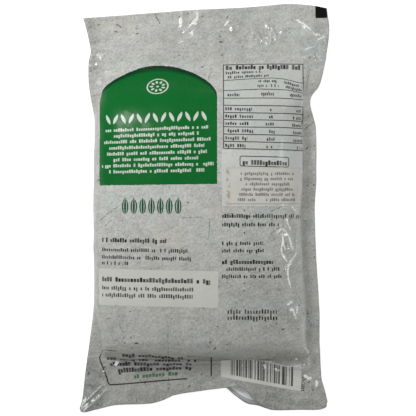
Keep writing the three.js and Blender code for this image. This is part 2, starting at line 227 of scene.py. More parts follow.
@dataclass
class BagForm:
    """The bag's smooth form, with the films at their real thickness.

    Across the bag, q runs from -2 at the left edge to -1 and 1 at the side seals' inner lines and
    2 at the right edge. The parting surface lies half-way between the films where they are sealed.
    A stretch is where a change along the bag begins and where it is full.
    """

    film: float = 0.2
    space: float = 0.04
    seal_width: float = 9.5
    pillow_top: float = 97.0
    pillow_end: float = -101.0
    rise: float = 23.2
    drop: float = 6.0
    back_slope: float = 52.0
    front_slope: float = 40.0
    end_slope: float = 12.0
    arch: float = 0.2
    arch_along: float = 0.12
    arch_middle: float = 12.0
    squareness: Point = (6, 8)
    zip_space: float = 0.85
    zip_stretches: tuple[Point, Point] = ((107, 104.4), (93, 95.6))
    zip_crushed: Point = (1, 1.5)
    gusset_fold: float = -99.0
    gusset_space: float = 0.4
    gusset_stretch: Point = (-92, -97.5)
    flap_space: float = 0.7
    flap_stretch: Point = (118, 136)
    mouth_lift: float = 5.2
    mouth_x: float = 24.0
    mouth_half_width: float = 15.0
    mouth_stretch: Point = (-106, -126)
    left_lean: Lean = Lean(80, (93, 58), (-112, -60))
    right_lean: Lean = Lean(12, (95, 84), (-124, -100))
    pinch_y: float = 71.8
    pinch_half_length: float = 9.0
    pinch_angle: float = 46.0
    waves: tuple[Wave, ...] = (
        Wave(0.9, 21, 0.6, (117, 136)),
        Wave(0.5, 13, 1.1, (-108, -128)),
    )
    left: tuple[Curve, Curve] = (Curve(LEFT_EDGE), Curve(LEFT_SEAL_HEIGHT))
    right: tuple[Curve, Curve] = (Curve(RIGHT_EDGE), Curve(RIGHT_SEAL_HEIGHT))
    top_edge: Curve = Curve(TOP_EDGE)

    def bottom_edge(self, side: Side) -> Curve:
        """Gives a film's bottom outline."""
        mouth = MOUTH_BACK if side is Side.BACK else MOUTH_FRONT
        return Curve((*BOTTOM_LEFT, *mouth, *BOTTOM_RIGHT))

    def parting(self, q: Array, y: Array) -> tuple[Array, Array]:
        """Gives x and z of the parting surface."""
        pinch = self.pinch_angle * hump(y, self.pinch_y, self.pinch_half_length)
        leans = self.left_lean.at(y), self.right_lean.at(y, pinch)
        outset = self.film + self.space / 2
        rims, lines = [], []
        for inwards, lean, (edge, height) in zip((1, -1), leans, (self.left, self.right)):
            rim = np.stack([edge(y) + inwards * outset * np.sin(lean), height(y)])
            rims.append(rim)
            lines.append(rim + self.seal_width * np.stack([inwards * np.cos(lean), np.sin(lean)]))
        left_seal, right_seal = mix(rims[0], lines[0], q + 2), mix(lines[1], rims[1], q - 1)
        between = mix(*lines, (q + 1) / 2)
        x, z = np.where(q < -1, left_seal, np.where(q > 1, right_seal, between))
        return x, z + sum(wave.at(x, y) for wave in self.waves)

    def half_space(self, q: Array, y: Array, side: Side) -> Array:
        """Gives half the space between the films, where the zip and the gusset lie in it."""
        x, _ = self.parting(q, y)
        above, below = self.zip_stretches
        crushed = 1 - ramp(*self.zip_crushed, np.abs(q))
        zipped = self.zip_space * ramp(*above, y) * ramp(*below, y) * crushed
        folded = self.gusset_space * ramp(*self.gusset_stretch, y)
        flaps = self.flap_space * ramp(*self.flap_stretch, y)
        mouth = hump(x, self.mouth_x, self.mouth_half_width) * ramp(*self.mouth_stretch, y)
        lift = self.mouth_lift * mouth if side is Side.BACK else 0
        return self.space / 2 + zipped + folded + flaps + lift

    def beside(self, q: Array, y: Array, offset: Array | float) -> Array:
        """Gives the points at an offset from the parting surface, at right angles to it."""
        step = 0.02
        x, z = self.parting(q, y)
        before_x, before_z = self.parting(q - step, y)
        after_x, after_z = self.parting(q + step, y)
        dx, dz = after_x - before_x, after_z - before_z
        length = np.hypot(dx, dz)
        return np.stack([x - dz / length * offset, y + 0 * x, z + dx / length * offset], axis=-1)

    def crown_across(self, q: Array) -> Array:
        """Gives how full the bag is across: a box with round shoulders and a little of an arch."""
        t = np.minimum(np.abs(q), 1)
        squareness = np.where(q > 0, self.squareness[1], self.squareness[0])
        return (1 - self.arch) * (1 - t**squareness) ** 0.45 + self.arch * (1 - t * t)

    def crown_along(self, y: Array, top_slope: float) -> Array:
        """Gives how full it is along: gently up from the zip, steeply down to the gusset."""
        from_top = np.clip((self.pillow_top - y) / top_slope, 0, 1)
        from_end = np.clip((y - self.pillow_end) / self.end_slope, 0, 1)
        quarter = math.pi / 2
        arched = 1 - self.arch_along * ((y - self.arch_middle) / 100) ** 2
        return arched * np.sin(quarter * from_top) ** 1.1 * np.sin(quarter * from_end) ** 0.9

    def face(self, q: Array, y: Array, side: Side) -> Array:
        """Gives the points of a film's outer face."""
        offset = self.half_space(q, y, side) + self.film
        points = self.beside(q, y, side.value * offset)
        across = self.crown_across(q)
        if side is Side.BACK:
            points[..., 2] += self.rise * across * self.crown_along(y, self.back_slope)
        else:
            fall = across * self.crown_along(y, self.front_slope)
            points[..., 2] -= (points[..., 2] + self.drop) * fall
            points[..., 2] = np.maximum(0, points[..., 2])
        return points


@dataclass
class Sheet:
    """Points of a film on a grid of rows and columns, with the flat film's own coordinates.

    u runs across the flat film from the bag's middle line, and v along it, both in millimetres.
    """

    points: Array
    normals: Array
    u: Array
    v: Array
    q: Array
    # The back film's painted highlight along its sharpest crease crests.
    white: Array | None = None

    @staticmethod
    def normals_of(points: Array) -> Array:
        """Gives the upward normals of a grid of points."""
        across = np.gradient(points, axis=1)
        along = np.gradient(points, axis=0)
        normals = np.cross(across, along)
        return normals / np.linalg.norm(normals, axis=-1, keepdims=True)

    def row(self, field_of: Array, y: float) -> Array:
        """Gives a field's values across the sheet at y, between two rows."""
        heights = self.points[:, self.points.shape[1] // 2, 1]
        place = np.interp(y, heights, np.arange(len(heights)))
        below = min(int(place), len(heights) - 2)
        return mix(field_of[below], field_of[below + 1], place - below)

    def flat(self, x: Array, y: float) -> Array:
        """Gives u of the places x on the row at y."""
        return np.interp(x, self.row(self.points[..., 0], y), self.row(self.u, y))

    def on(self, u: Array, y: Array) -> tuple[Array, Array]:
        """Gives the sheet's points and normals on a grid.

        Args:
            u: The grid's columns.
            y: The grid's rows.

        Returns:
            The points and the normals.
        """
        grids = []
        for values in (self.points, self.normals):
            rows = []
            for height in y:
                across, found = self.row(self.u, height), self.row(values, height)
                rows.append([np.interp(u, across, found[:, axis]) for axis in range(3)])
            grids.append(np.array(rows).transpose(0, 2, 1))
        return grids[0], grids[1]


@dataclass
class SheetMaker:
    """Lays out a film's grid, closer together where there is more to show."""

    form: BagForm
    pillow_columns: int = 158
    seal_columns: int = 9
    foot_rows: int = 36
    body_rows: int = 208
    flap_rows: int = 20
    fine_x: tuple[Point, ...] = ((56, 10),)
    fine_y: tuple[Point, ...] = ((112, 16), (-30, 26), (-104, 14))
    finer_x: float = 2.2
    finer_y: float = 0.7
    seal_top: float = 116.5

    def body_heights(self) -> Array:
        """Gives the rows' y from the gusset's fold to the header seal's top."""
        y = np.linspace(self.form.gusset_fold, self.seal_top, 3000)
        middle = self.form.face(np.zeros_like(y), y, Side.BACK)
        length = np.hypot(np.gradient(y), np.gradient(middle[:, 2]))
        weight = 1 + self.finer_y * sum(hump(y, at, reach) for at, reach in self.fine_y)
        return spaced(y, length * weight, self.body_rows)

    def columns(self, y: float, side: Side) -> Array:
        """Gives the columns' q on the row at y."""
        q = np.sin(np.linspace(-math.pi / 2, math.pi / 2, 1500))
        row = self.form.face(q, np.full_like(q, y), side)
        length = np.hypot(np.gradient(row[:, 0]), np.gradient(row[:, 2]))
        weight = 1 + self.finer_x * sum(hump(row[:, 0], at, reach) for at, reach in self.fine_x)
        pillow = spaced(q, length * weight, self.pillow_columns + 1)
        seal = np.linspace(0, 1, self.seal_columns + 1)[:-1]
        return np.concatenate([seal - 2, pillow, 2 - seal[::-1]])

    def make(self, side: Side) -> Sheet:
        """Lays out the sheet of one printed film.

        Args:
            side: Which film.

        Returns:
            The smooth sheet, before its creases.
        """
        form = self.form
        body = self.body_heights()
        fold, seal_top = form.gusset_fold, self.seal_top
        foot = np.linspace(0, 1, self.foot_rows + 1)[:-1]
        flap = np.linspace(0, 1, self.flap_rows + 1)[1:]
        nominal = np.concatenate([mix(-132, fold, foot), body, mix(seal_top, 133, flap)])
        q = np.stack([self.columns(y, side) for y in nominal])
        y = np.repeat(nominal[:, None], q.shape[1], axis=1)
        bottom = form.bottom_edge(side)
        for _ in range(6):
            x, _ = form.parting(q, y)
            y[: len(foot)] = mix(bottom(x[: len(foot)]), fold, foot[:, None])
            y[-len(flap) :] = mix(seal_top, form.top_edge(x[-len(flap) :]), flap[:, None])
        points = form.face(q, y, side)
        u = self.across(points)
        if side is Side.BACK:
            x = points[..., 0]
            turned = FOOT_TURN * ramp(-98, -120, y) * ramp(-40, -66, x)
            y, u = y - self.print_shift(x, y), u + self.print_squeeze(points, u) - turned
        return Sheet(points, Sheet.normals_of(points), u, self.along(y, side), q)

    def print_squeeze(self, points: Array, u: Array) -> Array:
        """Gives a shift of the print that keeps its upright lines upright near the zip.

        Args:
            points: The film's points.
            u: The lengths across from its middle line.

        Returns:
            Shifts in millimetres.
        """
        shift = np.zeros_like(u)
        heights = points[:, points.shape[1] // 2, 1]
        level = int(np.argmin(np.abs(heights - UPRIGHT_FROM)))
        for edge in UPRIGHT_LINES:
            at_edge = np.array([np.interp(edge, row[:, 0], long) for row, long in zip(points, u)])
            needed = (at_edge[level] - at_edge) * (heights > heights[level])
            shift += needed[:, None] * ramp(0.25 * edge, edge, points[..., 0])
        return shift

    def print_shift(self, x: Array, y: Array) -> Array:
        """Gives how far the bent film carries its print up, against a level one.

        Args:
            x: Places across, seen from above.
            y: Places along.

        Returns:
            Shifts in millimetres.
        """
        left = Curve(LEFT_SLOPE)(y) * (x - LEFT_COLUMN)
        right = Curve(RIGHT_SLOPE)(y) * (x - RIGHT_COLUMN)
        level = mix(left, right, ramp(7, 14, x))
        foot = mix(Curve(UPPER_PULL)(x), Curve(LOWER_PULL)(x), ramp(-98, -112, y))
        pulled = mix(level, foot, ramp(-80, -96, y))
        for (at_x, at_y), (reach_x, reach_y), lift in PULLS:
            pulled = pulled + lift * hump(x, at_x, reach_x) * hump(y, at_y, reach_y)
        return pulled

    def across(self, points: Array) -> Array:
        """Gives u: the length along each row from the bag's middle line."""
        step = np.linalg.norm(np.diff(points[..., [0, 2]], axis=1), axis=-1)
        reached = np.concatenate([np.zeros((len(points), 1)), np.cumsum(step, axis=1)], axis=1)
        middle = [np.interp(0, row[:, 0], length) for row, length in zip(points, reached)]
        return reached - np.array(middle)[:, None]

    def along(self, y: Array, side: Side) -> Array:
        """Gives v: the length along the film's middle line from y = 0."""
        fine = np.linspace(-145, 145, 2901)
        middle = self.form.face(np.zeros_like(fine), fine, side)
        reached = np.cumsum(np.hypot(np.gradient(fine), np.gradient(middle[:, 2])))
        return np.interp(y, fine, reached - np.interp(0, fine, reached))


class Profile(Enum):
    """How a crease stands, seen along it."""

    RIDGE = "a sharp crest with hollow sides"
    ROLL = "a rounded crest"
    VALLEY = "a rounded dip with a low lip on each side"
    STEP = "a drop to the right of the path, that fades away from it"


RIDGE, ROLL, VALLEY, STEP = Profile


@dataclass(frozen=True)
class Crease:
    """A crease along a path seen from above, in millimetres. Pale sets the painted highlight on its
    crest.
    """

    path: Path
    height: float
    width: float
    profile: Profile = RIDGE
    fade: float = 0.3
    # How strong the painted highlight along the crest is.
    pale: float = 0.0

    def relief(self, x: Array, y: Array) -> Array:
        """Gives the crease's height at the points x, y."""
        reach = 6 * self.width
        corners = np.array(self.path)
        low, high = corners.min(0) - reach, corners.max(0) + reach
        near = (x > low[0]) & (x < high[0]) & (y > low[1]) & (y < high[1])
        relief = np.zeros_like(x)
        if near.any():
            relief[near] = self.profiled(*self.off_path(x[near], y[near]))
        return relief

    def off_path(self, x: Array, y: Array) -> tuple[Array, Array]:
        """Gives the signed distance from the path, left of it positive, and the share along it."""
        corners = np.array(self.path)
        lengths = np.linalg.norm(np.diff(corners, axis=0), axis=1)
        starts = np.concatenate([[0], np.cumsum(lengths)])
        nearest = np.full_like(x, np.inf)
        share = np.zeros_like(x)
        for a, b, start, length in zip(corners, corners[1:], starts, lengths):
            dx, dy = (b - a) / length
            along = np.clip((x - a[0]) * dx + (y - a[1]) * dy, 0, length)
            off_x, off_y = x - a[0] - along * dx, y - a[1] - along * dy
            distance = np.hypot(off_x, off_y)
            closer = distance < np.abs(nearest)
            sign = np.where(off_y * dx - off_x * dy < 0, -1, 1)
            nearest = np.where(closer, distance * sign, nearest)
            share = np.where(closer, (start + along) / starts[-1], share)
        return nearest, share

    def profiled(self, distance: Array, share: Array) -> Array:
        """Gives the crease's height from the distance to its path and the share along it."""
        d = distance / self.width
        if self.profile is RIDGE:
            shape = np.exp(-np.sqrt(d * d + 0.04) + 0.2)
        elif self.profile is ROLL:
            shape = np.exp(-d * d)
        elif self.profile is VALLEY:
            shape = (0.9 * d * d - 1) * np.exp(-d * d)
        else:
            shape = np.tanh(d * 1.5) * np.exp(-((d / 3) ** 2))
        ends = ramp(0, self.fade, share) * ramp(1, 1 - self.fade, share) if self.fade else 1
        return self.height * shape * ends

    def painted_highlight(self, x: Array, y: Array) -> Array:
        """Gives the painted highlight along the crest at the points x, y, from 0 to 1."""
        distance, share = self.off_path(x, y)
        ends = ramp(0, 0.15, share) * ramp(1, 0.85, share)
        return self.pale * ramp(0.85, 0.2, np.abs(distance)) * mix(0.4, 1, ends)


@dataclass(frozen=True)
class Puckers:
    """Seeded short creases that start along a line, as film gathers beside a seal."""

    line: Path
    count: int
    heading: float
    length: Point
    height: Point
    width: Point
    seed: int
    spread: float = 14.0
    profile: Profile = RIDGE

    def creases(self) -> list[Crease]:
        """Draws the creases."""
        random = np.random.default_rng(self.seed)
        start, end = np.array(self.line)
        made = []
        for i in range(self.count):
            share = (i + random.uniform(0.1, 0.9)) / self.count
            at = mix(start, end, share)
            turn = math.radians(self.heading + random.normal(0, self.spread))
            length = random.uniform(*self.length)
            tip = at + length * np.array([math.cos(turn), math.sin(turn)])
            sign = random.choice([-0.7, 1])
            made.append(
                Crease(
                    (tuple(at), tuple(tip)),
                    sign * random.uniform(*self.height),
                    random.uniform(*self.width),
                    self.profile,
                    0.45,
                )
            )
        return made


def ridges(rows: Sequence[Sequence[float]]) -> tuple[Crease, ...]:
    """Turns rows of height, width, pale (painted crest highlight), and x and y of the path's points
    into sharp creases.
    """
    return tuple(
        Crease(tuple(zip(path[::2], path[1::2])), height, width, pale=pale)
        for height, width, pale, *path in rows
    )


# Creases that both films share, where they are sealed or lie on each other.
SHARED_RIDGES: tuple[tuple[float, ...], ...] = (
    # Header flaps and heat seal.
    (0.35, 1.4, 0, -18.5, 112.4, -9.7, 113.7, -0.9, 113.7),
    (0.5, 1, 0, 5.9, 121.2, 12, 119.8, 19.5, 126.5),
    (0.3, 0.8, 0.8, 13.6, 123.6, 16.6, 127),
    (0.3, 0.8, 0.5, 8.2, 119.6, 10.4, 118.6),
    (0.55, 1, 0.35, 24.1, 123.9, 30.2, 118),
    (0.6, 1, 0.3, 31.5, 124, 33.2, 118.6, 31.6, 113.6),
    (-0.45, 1.4, 0, 26.2, 121, 32.2, 117.3, 39, 116, 45.8, 117.4),
    (0.8, 1.3, 0.5, 43.9, 119.5, 45.2, 115.5, 44.1, 110.5),
    (0.45, 1.2, 0.25, 36.4, 117.5, 35, 111.5),
    (0.5, 1.1, 0.45, 44.1, 118.8, 50.2, 123.3),
    (0.4, 1, 0.25, 47.5, 117, 51.8, 114.6),
    (0.75, 1.1, 0.95, 62, 127.9, 67.4, 124.6, 72.8, 119.8),
    (0.6, 1.1, 0.5, 72.8, 119.8, 76.5, 114.8),
    (0.8, 1.5, 0.55, 69.8, 118.6, 76.9, 117.1, 84, 115.4),
    (0.6, 1.2, 0.6, 76, 113.8, 80, 115.2, 84, 112.6),
    (0.5, 1.2, 0.5, 77.5, 118.4, 80.4, 113.8, 82.6, 111.8),
    (0.4, 1, 0.55, 67, 107.2, 74.5, 109.4),
    # Zip ends.
    (0.4, 0.8, 0, 71.2, 99.9, 75.5, 101.2),
    # Corner seals of the gusset.
    (0.5, 0.9, 0.8, -84.2, -136, -81.2, -131.2, -80.4, -127.4),
    (0.4, 0.9, 0.8, -81.6, -137.6, -79.4, -133.4),
    (-0.4, 1.6, 0, -79.8, -101.8, -75.7, -108, -75, -112.8, -77.1, -118.3),
    (0.4, 0.8, 0, -84, -134, -79, -136.6),
    (0.35, 0.8, 0, -82.6, -131, -79.2, -134.5),
    (0.45, 1, 0, 69.5, -100.2, 74.8, -101.2, 79, -102.1),
    (0.35, 0.9, 0, 71, -97.2, 75.5, -98.6, 79, -98.6),
)
SHARED_CREASES: tuple[Crease, ...] = (
    *ridges(SHARED_RIDGES),
    # Header flaps and heat seal.
    Crease(((-14.7, 136), (-14.4, 129), (-15.1, 121)), 0.7, 1.6, ROLL, 0.1),
    Crease(((-3.6, 136), (-2.9, 130.6), (-5.6, 124)), 0.4, 1.8, ROLL, 0.1),
    Crease(((-3.6, 126.5), (-11, 119.8), (-19.5, 110.5)), 0.8, 2.6, STEP),
    # Zip ends.
    Crease(((63, 102.3), (72.8, 101.9), (84, 103.2)), -0.45, 0.9, fade=0.25),
    Crease(((-79, 101.1), (-71.5, 102.1)), -0.4, 0.8, fade=0.15),
    Crease(((-79, 96.6), (-72, 99.4)), -0.4, 0.8, fade=0.15),
    # Corner seals of the gusset.
    Crease(((-83.6, -136.9), (-74.6, -127.6), (-65.8, -119)), -0.7, 1.3, ROLL, 0.05),
    Crease(((-80.6, -136.4), (-73.4, -129.6), (-65.6, -121.6)), 0.6, 1, fade=0.1, pale=0.5),
    Crease(((-83.6, -133.4), (-76.5, -126.8), (-68.6, -119)), 0.6, 1, fade=0.1, pale=0.6),
    Crease(((-64.4, -119.6), (-63.6, -126.2), (-63.3, -133)), 0.6, 1.9, STEP, 0.1),
    Crease(((68.1, -112.7), (73.5, -114.1), (80, -115.6)), -0.6, 1.8, VALLEY),
    Crease(((72.1, -90.6), (78.6, -87)), 0.7, 2.2, STEP, 0.1),
    # Slack film over the gusset.
    Crease(((-50.2, -121.5), (-53.2, -127.2), (-52.5, -133.5)), 0.55, 2.6, ROLL),
    Crease(((-36, -120), (-33.5, -125.5), (-35.5, -132.5)), 0.6, 2.6, ROLL),
    Crease(((-18, -117), (-21, -122), (-19.5, -127)), 0.4, 2.4, ROLL),
    Crease(((46.6, -121.8), (42.5, -127.5), (45, -136)), 0.6, 2.8, ROLL),
    Crease(((57.5, -124.5), (57, -131), (55.5, -136)), 0.35, 2.6, ROLL),
    Crease(((66, -117), (67.5, -126), (72.5, -132)), 0.4, 2.2, ROLL),
)

SHARED_PUCKERS: tuple[Puckers, ...] = (
    Puckers(((-60, 116.5), (82, 117.5)), 26, -96, (5, 11), (0.08, 0.34), (0.8, 1.4), 11),
    Puckers(((22, 117), (60, 117)), 12, -70, (3, 7), (0.2, 0.5), (0.7, 1.1), 12, 40),
    Puckers(((-80, 112), (82, 112)), 22, 2, (4, 10), (0.05, 0.2), (0.8, 1.3), 13),
    Puckers(((-83, -134.5), (-66, -118.5)), 8, -60, (2.5, 5), (0.12, 0.3), (0.8, 1.1), 14, 30),
    Puckers(((76, -95), (80, -128)), 11, 172, (3, 7), (0.1, 0.3), (0.8, 1.3), 15),
    Puckers(((-79, -92), (-81, -128)), 11, 8, (3, 8), (0.1, 0.28), (0.8, 1.3), 16),
)

# Creases of the back film over the filled part.
BACK_RIDGES: tuple[tuple[float, ...], ...] = (
    # The roll where the filled part ends, over the gusset.
    (1, 1.2, 0.35, 69.6, -110.8, 65.5, -107.4, 60, -105),
    (0.45, 1.5, 0, -58, -96, -47, -99.2, -38, -99),
    (0.4, 1.4, 0, -36, -97.5, -27, -100.4, -16, -100.2),
    (0.4, 1.3, 0, -52, -108.5, -41, -106.9, -31, -108.2),
    # Crumpled right shoulder.
    (0.6, 0.8, 0.75, 54.6, -15.4, 57, -20.5, 57.8, -24.8, 59.6, -28.6),
    (0.6, 0.8, 0.8, 61.9, -29.8, 59.2, -33.5, 56.8, -36.4),
    (0.4, 0.8, 0.8, 56.2, -35.4, 58, -36.6, 56.8, -38.4),
    (0.5, 0.8, 0.6, 47.3, -17.4, 51.8, -13.6, 55.2, -16),
    (0.55, 0.8, 0.75, 54.9, -6.5, 55.9, -10.8, 57.9, -15.4),
    (0.5, 0.8, 0.7, 58.3, 1.8, 61.2, -2.7),
    (0.35, 1, 0.35, 62.4, -14, 61.7, -23.2, 61.9, -29),
    (0.7, 0.85, 0.95, 56.4, -67, 58.9, -68.6, 61.6, -74.5),
    (0.5, 0.9, 0.75, 62.1, -65.4, 61.2, -70.8),
    (0.45, 0.9, 0.7, 57.6, -68.2, 61.4, -66.4),
    (0.4, 0.9, 0.6, 63.6, 27.4, 65.8, 23.4),
    (-0.5, 1.8, 0, 54.2, -19, 54.9, -27, 57.2, -32),
    # Long soft folds.
    (-0.25, 1.1, 0, -67.1, 102.4, -59, 99.5, -48, 95),
)
BACK_CREASES: tuple[Crease, ...] = (
    *ridges(BACK_RIDGES),
    # The roll where the filled part ends, over the gusset.
    Crease(
        (
            (-66, -98.2), (-58.3, -100.2), (-43.5, -102.3), (-26.6, -103.4), (-9.7, -103.2),
            (2.5, -104.3), (10.6, -103.5), (20.6, -100.4), (25.5, -100), (33, -100.6),
            (39, -102.6), (45.8, -104.6), (54.6, -106.4), (64.7, -107.8), (70, -109),
        ),
        1.9, 1.6, ROLL, 0.1,
    ),
    Crease(((34, -98.6), (45, -102), (54, -103.8), (64, -105.4), (69, -106.4)), 1.3, 2, ROLL),
    Crease(
        ((66.5, -92), (68.8, -96.6), (70.6, -101), (70.8, -107), (69.6, -110.8)),
        2.1, 1.5, pale=0.4,
    ),
    # Crumpled right shoulder.
    Crease(
        ((52.1, -17), (52.6, -22), (51.4, -26.6), (51.8, -30.6), (53.9, -33.8), (56.7, -37.4)),
        0.75, 0.85, fade=0.15, pale=0.85,
    ),
    Crease(((52.4, -22.4), (53.6, -25.4), (54.2, -28.4)), 0.6, 0.85, ROLL, 0.1, pale=0.9),
    Crease(
        ((56.6, -36.6), (55.6, -42.7), (56.2, -48.1), (57.9, -53.4)),
        0.6, 0.85, fade=0.2, pale=0.85,
    ),
    Crease(((55.1, -64.4), (59.2, -61.8)), 0.6, 0.9, ROLL, pale=0.95),
    # Long soft folds.
    Crease(((22, 70), (40, 58), (61, 52)), 0.5, 5.0, ROLL),
    Crease(((-60, 84), (-30, 78), (0, 86)), 0.45, 6.0, ROLL),
    Crease(((36, 92), (52, 84), (66, 72)), 0.7, 4.0, ROLL),
    Crease(((30, -90), (46, -84), (60, -88)), -0.6, 4.5, ROLL),
    Crease(((-4, -97), (12, -90), (30, -96)), 0.5, 4.0, ROLL),
)

BACK_PUCKERS: tuple[Puckers, ...] = (
    Puckers(((64.5, 62), (65, -88)), 44, 188, (4, 9), (0.06, 0.3), (0.8, 1.4), 21, 22),
    Puckers(((-72.5, 60), (-72.5, -90)), 44, -6, (2.5, 7), (0.06, 0.25), (0.8, 1.3), 22, 16),
    Puckers(((70, 60), (72, -86)), 40, 25, (3, 6), (0.06, 0.2), (0.8, 1.2), 23, 22),
    Puckers(((-60, -94), (60, -97)), 26, 86, (5, 12), (0.08, 0.3), (1.0, 1.8), 24, 24),
    Puckers(((46, 8), (60, -60)), 22, 20, (2.5, 6), (0.1, 0.3), (0.7, 1.0), 25, 60),
    Puckers(((-70, 92), (74, 92)), 24, -90, (7, 18), (0.06, 0.25), (1.4, 2.4), 26, 12),
)


@dataclass(frozen=True)
class Lump:
    """A layer of soft unevenness, from the pieces inside."""

    seed: int
    cell: Point
    height: float

    def relief(self, x: Array, y: Array, reseed: int = 0) -> Array:
        """Gives the layer's height at the points x, y."""
        return self.height * Noise(self.seed + reseed, self.cell)(x, y)


@dataclass(frozen=True)
class Crumple:
    """A place where the film is crushed into small facets with sharp crests."""

    middle: Point
    half: Point
    height: float
    seed: int
    cell: Point = (4.2, 6.0)
    turn: float = 0.5

    def relief(self, x: Array, y: Array) -> Array:
        """Gives the facets' height at the points x, y."""
        off = np.hypot((x - self.middle[0]) / self.half[0], (y - self.middle[1]) / self.half[1])
        share = ramp(1.0, 0.3, off)
        drift = 1.6 * Noise(self.seed + 1, (6, 6))(x, y)
        along = x * math.cos(self.turn) + y * math.sin(self.turn) + drift
        across = y * math.cos(self.turn) - x * math.sin(self.turn) - drift
        total = 0.0
        for size, weight in ((1.0, 0.65), (0.55, 0.35)):
            cell = (self.cell[0] * size, self.cell[1] * size)
            total = total + weight * (0.5 - np.abs(Noise(self.seed, cell)(along, across)))
        return self.height * share * total


# Crushed places: in the header, at the zip's ends, on the right shoulder and round the foot.
CRUMPLES: tuple[Crumple, ...] = (
    Crumple((40, 118), (19, 10), 3.0, 41),
    Crumple((77, 119), (14, 9), 3.0, 43),
    Crumple((18, 123), (11, 6), 2.4, 45),
    Crumple((-14, 121), (24, 13), 0.5, 47),
    Crumple((74, 101), (11, 6), 1.6, 49),
    Crumple((-76, 100), (8, 7), 1.6, 51),
    Crumple((55, -28), (8, 18), 1.0, 53, turn=0.2),
    Crumple((59, -68), (7, 11), 1.1, 55, turn=0.2),
    Crumple((58, 0), (8, 11), 0.9, 57, turn=0.2),
    Crumple((-24, -104), (48, 7), 1.8, 59, (6.5, 3.4), 0.1),
    Crumple((44, -106), (26, 8), 1.8, 61, (5.0, 4.2)),
    Crumple((69, -104), (8, 11), 2.2, 63),
    Crumple((-77, -128), (12, 11), 2.0, 65, turn=0.8),
    Crumple((-68, -107), (12, 12), 1.5, 67),
    Crumple((72, -122), (13, 12), 1.2, 69, (5.0, 7.0)),
    Crumple((-35, -127), (34, 8), 1.2, 71, (5.0, 8.0)),
)


@dataclass
class Relief:
    """Everything that stands off a film's smooth form.

    The films move together, as one, where they are joined: at the ends and in the seals.
    """

    form: BagForm
    lumps: tuple[Lump, ...] = (
        Lump(31, (23, 37), 0.85), Lump(32, (11, 17), 0.3), Lump(33, (5.2, 6.1), 0.09),
    )
    shared_lumps: tuple[Lump, ...] = (
        Lump(34, (17, 13), 0.6), Lump(35, (5.7, 4.9), 0.16), Lump(37, (9, 14), 0.3),
    )
    edge_wave: Lump = Lump(36, (40, 9), 0.35)
    loose: tuple[Point, Point] = ((96, 108), (-97, -108))
    joined: tuple[Point, Point] = ((88, 97), (-95, -101))
    sealed: Point = (0.97, 1.02)
    front_seed: int = 10

    def shared(self, x: Array, y: Array) -> Array:
        """Gives the relief of both films together.

        Args:
            x: Places across, seen from above.
            y: Places along.

        Returns:
            Heights in millimetres.
        """
        ends = sum(ramp(*stretch, y) for stretch in self.loose)
        uneven = sum(lump.relief(x, y) for lump in self.shared_lumps)
        creased = self.creased(SHARED_CREASES, SHARED_PUCKERS, x, y)
        edge = self.edge_wave.relief(x, y)
        return creased + self.crushed(x, y) + uneven * ends + edge * (1 - ends)

    def creased(
        self, creases: tuple[Crease, ...], puckers: tuple[Puckers, ...], x: Array, y: Array
    ) -> Array:
        """Adds up some creases and the creases that some puckers draw."""
        drawn = [crease for gathered in puckers for crease in gathered.creases()]
        return sum(crease.relief(x, y) for crease in (*creases, *drawn))

    def painted_highlight(self, sheet: Sheet) -> Array:
        """Gives the painted highlight along the back film's sharpest creases."""
        x, y = sheet.points[..., 0], sheet.points[..., 1]
        pale = [crease for crease in (*SHARED_CREASES, *BACK_CREASES) if crease.pale]
        return np.max([crease.painted_highlight(x, y) for crease in pale], axis=0)

    def carried(self, q: Array, x: Array, y: Array) -> Array:
        """Gives how far the films carry along what lies between them."""
        return (self.shared(x, y) * self.shared_share(q, y))[..., None]

    def crushed(self, x: Array, y: Array) -> Array:
        """Gives the relief of the crushed places."""
        return sum(crumple.relief(x, y) for crumple in CRUMPLES)

    def shared_share(self, q: Array, y: Array) -> Array:
        """Gives how far a place moves with both films: 1 where they are joined, 0 when filled."""
        ends = sum(ramp(*stretch, y) for stretch in self.joined)
        return np.maximum(ramp(*self.sealed, np.abs(q)), ends)

    def uneven(self, sheet: Sheet, side: Side) -> Array:
        """Gives the soft lumps of the filled part."""
        slope, layers, seed = self.form.back_slope, self.lumps, 0
        if side is Side.FRONT:
            slope, layers, seed = self.form.front_slope, self.lumps[1:], self.front_seed
        along = self.form.crown_along(sheet.points[..., 1], slope)
        lumps = sum(lump.relief(sheet.u, sheet.v, seed) for lump in layers)
        return self.form.crown_across(sheet.q) * along * lumps

    def stand_off(self, sheet: Sheet, side: Side) -> Array:
        """Gives how far a film stands off its smooth form.

        Args:
            sheet: The smooth film.
            side: Which film.

        Returns:
            Heights in millimetres.
        """
        x, y = sheet.points[..., 0], sheet.points[..., 1]
        share = self.shared_share(sheet.q, y)
        height = self.shared(x, y) * share + self.uneven(sheet, side) * (1 - share)
        if side is Side.BACK:
            own = self.creased(BACK_CREASES, BACK_PUCKERS, x, y)
            height = height + np.where(own < 0, own * (1 - share), own)
            height = height + self.crushed(x, y) * (1 - share)
        return height


def deselect() -> None:
    """Leaves nothing selected."""
    bpy.ops.object.select_all(action="DESELECT")


def select(piece: Piece) -> None:
    """Makes a piece the only one selected, and the active one."""
    deselect()
    piece.select_set(True)
    bpy.context.view_layer.objects.active = piece


def apply_modifiers(piece: Piece) -> None:
    """Applies a piece's modifiers in their order."""
    select(piece)
    for modifier in list(piece.modifiers):
        bpy.ops.object.modifier_apply(modifier=modifier.name)


def points_of(mesh: bpy.types.Mesh) -> Array:
    """Gives the places of a mesh's vertices."""
    points = np.empty(len(mesh.vertices) * 3)
    mesh.vertices.foreach_get("co", points)
    return points.reshape(-1, 3)


def move_points(mesh: bpy.types.Mesh, points: Array) -> None:
    """Moves a mesh's vertices."""
    mesh.vertices.foreach_set("co", points.astype(np.float32).ravel())


